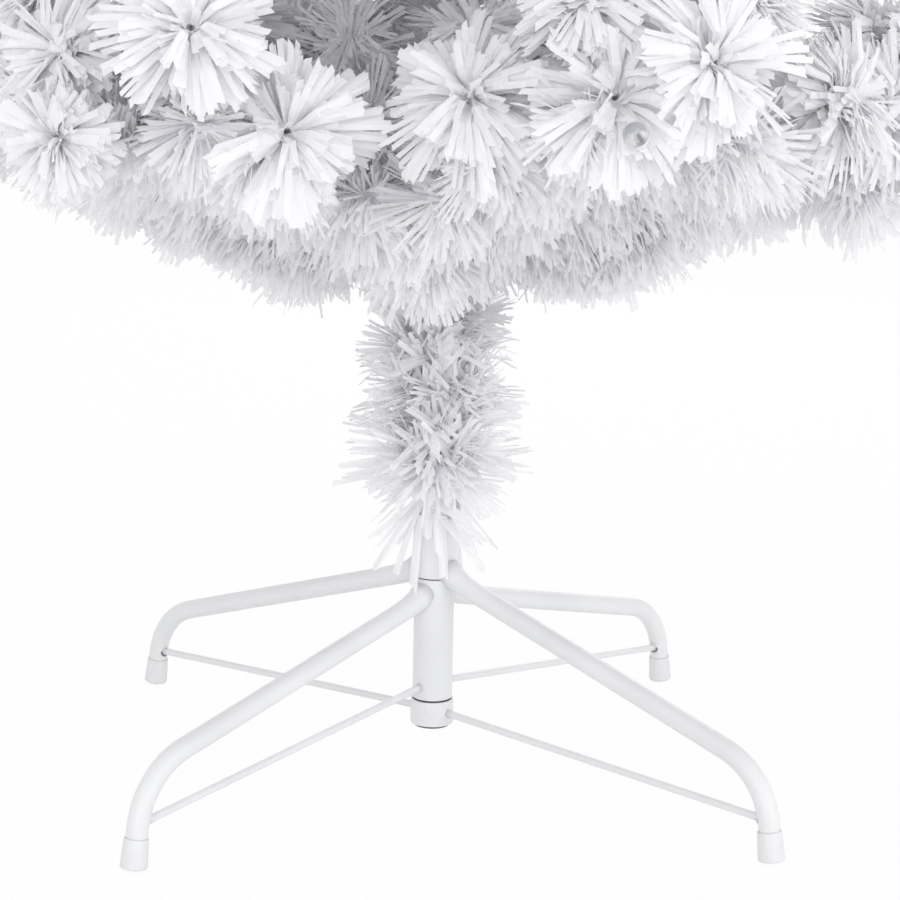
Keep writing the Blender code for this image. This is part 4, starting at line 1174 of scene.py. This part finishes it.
# Whorls of the crown: twigs, root height above the pole's top, reach, lift, tuft as a share
# of the crown's own, and where the first twig points in degrees
CROWN_WHORLS = (
    (6, 0.015, 0.125, 0.050, 0.85, 293.0),
    (6, -0.010, 0.105, -0.005, 0.80, 323.0),
    (5, 0.070, 0.105, 0.055, 0.80, 310.0),
    (4, 0.135, 0.075, 0.060, 0.85, 293.0),
    (4, 0.200, 0.055, 0.050, 0.72, 338.0),
    (3, 0.262, 0.035, 0.045, 0.62, 300.0),
)


def dress_crown(looks):
    """The top of the tree: its stem, whorls of twigs and the top tuft."""
    rng = np.random.default_rng(CROWN_SEED)
    batch = Batch()
    tip = np.array([0, 0, CROWN_TOP - CROWN_TUFT * 0.34])
    seat = [(0.0127, POLE_TOP - 0.034), (0.0165, POLE_TOP - 0.033), (0.0165, POLE_TOP + 0.002),
            (0.0070, POLE_TOP + 0.020), (0.0046, POLE_TOP + 0.060), (0.0036, tip[2] - 0.006)]
    add_grid(batch, turned(seat, 20), 0.4, TAPE)
    needles = brush_field(rng, (0, 0, POLE_TOP - 0.03), tip - UP * 0.012, 0.006,
                          looks.needles_per_metre * 1.4, looks.needle_length, 35.0,
                          looks.needle_width * 1.1)
    add_needles(batch, needles)
    add_ribbons(batch, tuft_field(rng, tip - UP * 0.004, UP, CROWN_TUFT, looks.strip_width,
                                  CROWN_FULLNESS))
    for count, rise, reach, lift, size, turn in CROWN_WHORLS:
        for n in range(count):
            azimuth = math.radians(turn) + math.tau * n / count + rng.normal(0, 0.04)
            root = np.array([0, 0, POLE_TOP + rise])
            end = root + np.array([reach * math.cos(azimuth), reach * math.sin(azimuth), lift])
            dress_tuft_twig(batch, rng, root, end, CROWN_TUFT * size, looks, CROWN_FULLNESS,
                            TWIG_WRAP, n % 3 == 0)
    dressed(batch, "crown_strips", "trunk_upper", ["crown_foliage"])


# Stage


# Lamps: name, place, width, and power as a share of the key's
LAMPS = (
    ("key_lamp", (-0.7, -3.1, 0.9), 1.8, 1.0),
    ("fill_lamp", (2.3, -2.2, 0.7), 2.2, 1.4),
    ("back_lamp", (0.6, 3.0, 1.6), 2.0, 0.8),
)
LAMPS_AIM = (0.0, 0.0, 0.7)
FLOOR_RADIUS = 40.0
FLOOR_TOP = -0.0005      # just under the feet
FLOOR_COLOUR = (0.93, 0.93, 0.93, 1.0)
# The camera as fitted to the feet, collars and pole: place, turns in degrees and lens in mm
CAMERA_PLACE = (0.0, -1.818, 0.614)
CAMERA_TURNS = (0.32, 11.05, 1.25)
CAMERA_LENS = 93.6


def seen_rays(tree):
    """A socket that is 1 for what the camera sees, also in gloss and through glass."""
    path = tree.nodes.new("ShaderNodeLightPath")
    seen = path.outputs["Is Camera Ray"]
    for name in ("Is Glossy Ray", "Is Transmission Ray"):
        largest = tree.nodes.new("ShaderNodeMath")
        largest.operation = "MAXIMUM"
        tree.links.new(seen, largest.inputs[0])
        tree.links.new(path.outputs[name], largest.inputs[1])
        seen = largest.outputs[0]
    return seen


def build_floor(looks):
    """A round pale floor, lifted to white by a share for what the camera sees."""
    batch = Batch()
    add_grid(batch, turned([(FLOOR_RADIUS, FLOOR_TOP - 0.02), (FLOOR_RADIUS, FLOOR_TOP)], 96))
    material, shader, add, _ = finish_nodes("pale_floor", 0.9)
    shader.inputs["Base Color"].default_value = FLOOR_COLOUR
    shader.inputs["Specular IOR Level"].default_value = 0.0
    tree = material.node_tree
    share = add("ShaderNodeMath", {0: seen_rays(tree), 1: looks.floor_white},
                operation="MULTIPLY")
    glow = add("ShaderNodeEmission", {"Color": (1, 1, 1, 1), "Strength": 1.0})
    both = add("ShaderNodeMixShader", {0: share.outputs[0], 1: shader.outputs[0],
                                       2: glow.outputs[0]})
    tree.links.new(both.outputs[0], tree.nodes["Material Output"].inputs["Surface"])
    batch.write("floor", [material])


def build_world(looks):
    """An even white light from all round, which is plain white where it is seen."""
    world = bpy.data.worlds.new("plain_white")
    bpy.context.scene.world = world
    world.use_nodes = True
    tree = world.node_tree
    sky = tree.nodes["Background"]
    sky.inputs["Color"].default_value = (1, 1, 1, 1)
    level = tree.nodes.new("ShaderNodeMapRange")
    tree.links.new(seen_rays(tree), level.inputs["Value"])
    level.inputs["To Min"].default_value = looks.world_light
    level.inputs["To Max"].default_value = 1.0
    tree.links.new(level.outputs["Result"], sky.inputs["Strength"])


def build_lamps(looks):
    """Round soft lamps that look at the tree's middle and stay out of the picture."""
    for name, place, size, share in LAMPS:
        lamp = bpy.data.lights.new(name, "AREA")
        lamp.shape, lamp.size, lamp.energy = "DISK", size, looks.key_power * share
        holder = bpy.data.objects.new(name, lamp)
        holder.location = place
        aim = Vector(LAMPS_AIM) - Vector(place)
        holder.rotation_euler = aim.to_track_quat("-Z", "Y").to_euler()
        holder.visible_camera = False
        bpy.context.scene.collection.objects.link(holder)


def build_camera():
    """The camera at the photograph's view: turned aside, tipped down, then rolled."""
    yaw, pitch, roll = (math.radians(a) for a in CAMERA_TURNS)
    right = Vector((math.cos(yaw), -math.sin(yaw), 0))
    level_ahead = Vector((math.sin(yaw), math.cos(yaw), 0))
    ahead = math.cos(pitch) * level_ahead - math.sin(pitch) * Vector(UP)
    above = right.cross(ahead)
    axes = (math.cos(roll) * right + math.sin(roll) * above,
            -math.sin(roll) * right + math.cos(roll) * above, -ahead, Vector(CAMERA_PLACE))
    lens = bpy.data.cameras.new("photo_camera")
    lens.lens, lens.sensor_width = CAMERA_LENS, 36.0
    camera = bpy.data.objects.new("photo_camera", lens)
    camera.matrix_world = Matrix((*zip(*axes), (0, 0, 0, 1)))
    scene = bpy.context.scene
    scene.collection.objects.link(camera)
    scene.camera = camera


def build_stage(looks):
    """Floor, plain white world, soft lamps and the camera at the photograph's view."""
    build_floor(looks)
    build_world(looks)
    build_lamps(looks)
    build_camera()
    bpy.context.scene.view_settings.view_transform = "Standard"


# Add-on


class TreeLooks(bpy.types.PropertyGroup):
    """Sizes, colours and light levels that a user would change."""

    strip_width: bpy.props.FloatProperty(
        name="Strip Width", description="Width of a flat strip in a tuft",
        default=0.0046, min=0.001, unit="LENGTH")
    needle_width: bpy.props.FloatProperty(
        name="Needle Width", description="Width of a needle on a twig",
        default=0.0029, min=0.0005, unit="LENGTH")
    needle_length: bpy.props.FloatProperty(
        name="Needle Length", description="Length of a needle on a twig",
        default=0.042, min=0.005, unit="LENGTH")
    needles_per_metre: bpy.props.FloatProperty(
        name="Needles per Metre", description="Needles wound on each metre of twig",
        default=3600.0, min=100.0)
    garland_strip_length: bpy.props.FloatProperty(
        name="Garland Strip Length", description="Length of a strip in the garland",
        default=0.057, min=0.01, unit="LENGTH")
    branch_incline: bpy.props.FloatProperty(
        name="Branch Incline", description="How far the branches rise from level, in degrees",
        default=20.0)
    strip_colour: bpy.props.FloatVectorProperty(
        name="Strip Colour", description="Colour of the lightest strips",
        subtype="COLOR", default=(0.987, 0.984, 0.998), min=0.0, max=1.0)
    strip_shade: bpy.props.FloatVectorProperty(
        name="Strip Shade", description="Colour of the darkest strips",
        subtype="COLOR", default=(0.966, 0.962, 0.984), min=0.0, max=1.0)
    coat_colour: bpy.props.FloatVectorProperty(
        name="Coat Colour", description="Colour of the stand's powder coat",
        subtype="COLOR", default=(0.815, 0.82, 0.836), min=0.0, max=1.0)
    key_power: bpy.props.FloatProperty(
        name="Key Power", description="Power of the main lamp", default=15.0, min=0.0,
        unit="POWER")
    world_light: bpy.props.FloatProperty(
        name="World Light", description="Strength of the even light from all round",
        default=0.90, min=0.0)
    floor_white: bpy.props.FloatProperty(
        name="Floor White", description="How far the floor is lifted to white for the camera",
        default=0.95, min=0.0, max=1.0, subtype="FACTOR")


class TREE_OT_stage(bpy.types.Operator):
    """Make the floor, lamps, world and camera"""

    bl_idname = "tree.stage"
    bl_label = "Stage"

    def execute(self, context):
        build_stage(context.scene.tree_looks)
        return {"FINISHED"}


class TREE_OT_paint(bpy.types.Operator):
    """Give the CAD nodes that stay in view their finishes"""

    bl_idname = "tree.paint"
    bl_label = "Paint Frame"

    def execute(self, context):
        paint_nodes()
        return {"FINISHED"}


class TREE_OT_stand(bpy.types.Operator):
    """Make the stand's collars, legs, braces and foot caps"""

    bl_idname = "tree.stand"
    bl_label = "Stand"

    def execute(self, context):
        dress_hub()
        dress_legs()
        return {"FINISHED"}


class TREE_OT_garland(bpy.types.Operator):
    """Make the garland and the needles round the pole"""

    bl_idname = "tree.garland"
    bl_label = "Garland and Trunk"

    def execute(self, context):
        dress_garland(context.scene.tree_looks)
        dress_trunk(context.scene.tree_looks)
        return {"FINISHED"}


class TREE_OT_branches(bpy.types.Operator):
    """Make the foliage of every branch"""

    bl_idname = "tree.branches"
    bl_label = "Branches"

    def execute(self, context):
        for tier in range(TIERS):
            for number in range(ARMS):
                dress_arm(tier, number, context.scene.tree_looks)
        return {"FINISHED"}


class TREE_OT_crown(bpy.types.Operator):
    """Make the foliage of the crown"""

    bl_idname = "tree.crown"
    bl_label = "Crown"

    def execute(self, context):
        dress_crown(context.scene.tree_looks)
        return {"FINISHED"}


OPERATORS = (TREE_OT_stage, TREE_OT_paint, TREE_OT_stand, TREE_OT_garland, TREE_OT_branches,
             TREE_OT_crown)


class TREE_PT_panel(bpy.types.Panel):
    """Sidebar panel with the tree's sizes and its operators"""

    bl_idname = "TREE_PT_panel"
    bl_label = "Fibre Optic Tree"
    bl_space_type = "VIEW_3D"
    bl_region_type = "UI"
    bl_category = "Tree"

    def draw(self, context):
        looks = context.scene.tree_looks
        for name in looks.bl_rna.properties.keys():
            if name not in ("rna_type", "name"):
                self.layout.prop(looks, name)
        for operator in OPERATORS:
            self.layout.operator(operator.bl_idname)


CLASSES = (TreeLooks, *OPERATORS, TREE_PT_panel)


def register():
    """Register the classes and hang the settings on the scene."""
    for item in CLASSES:
        bpy.utils.register_class(item)
    bpy.types.Scene.tree_looks = bpy.props.PointerProperty(type=TreeLooks)


def unregister():
    """Take the settings off the scene and unregister the classes."""
    del bpy.types.Scene.tree_looks
    for item in reversed(CLASSES):
        bpy.utils.unregister_class(item)


def main():
    register()
    for operator in OPERATORS:
        group, name = operator.bl_idname.split(".")
        getattr(getattr(bpy.ops, group), name)()


if __name__ == "__main__":
    main()
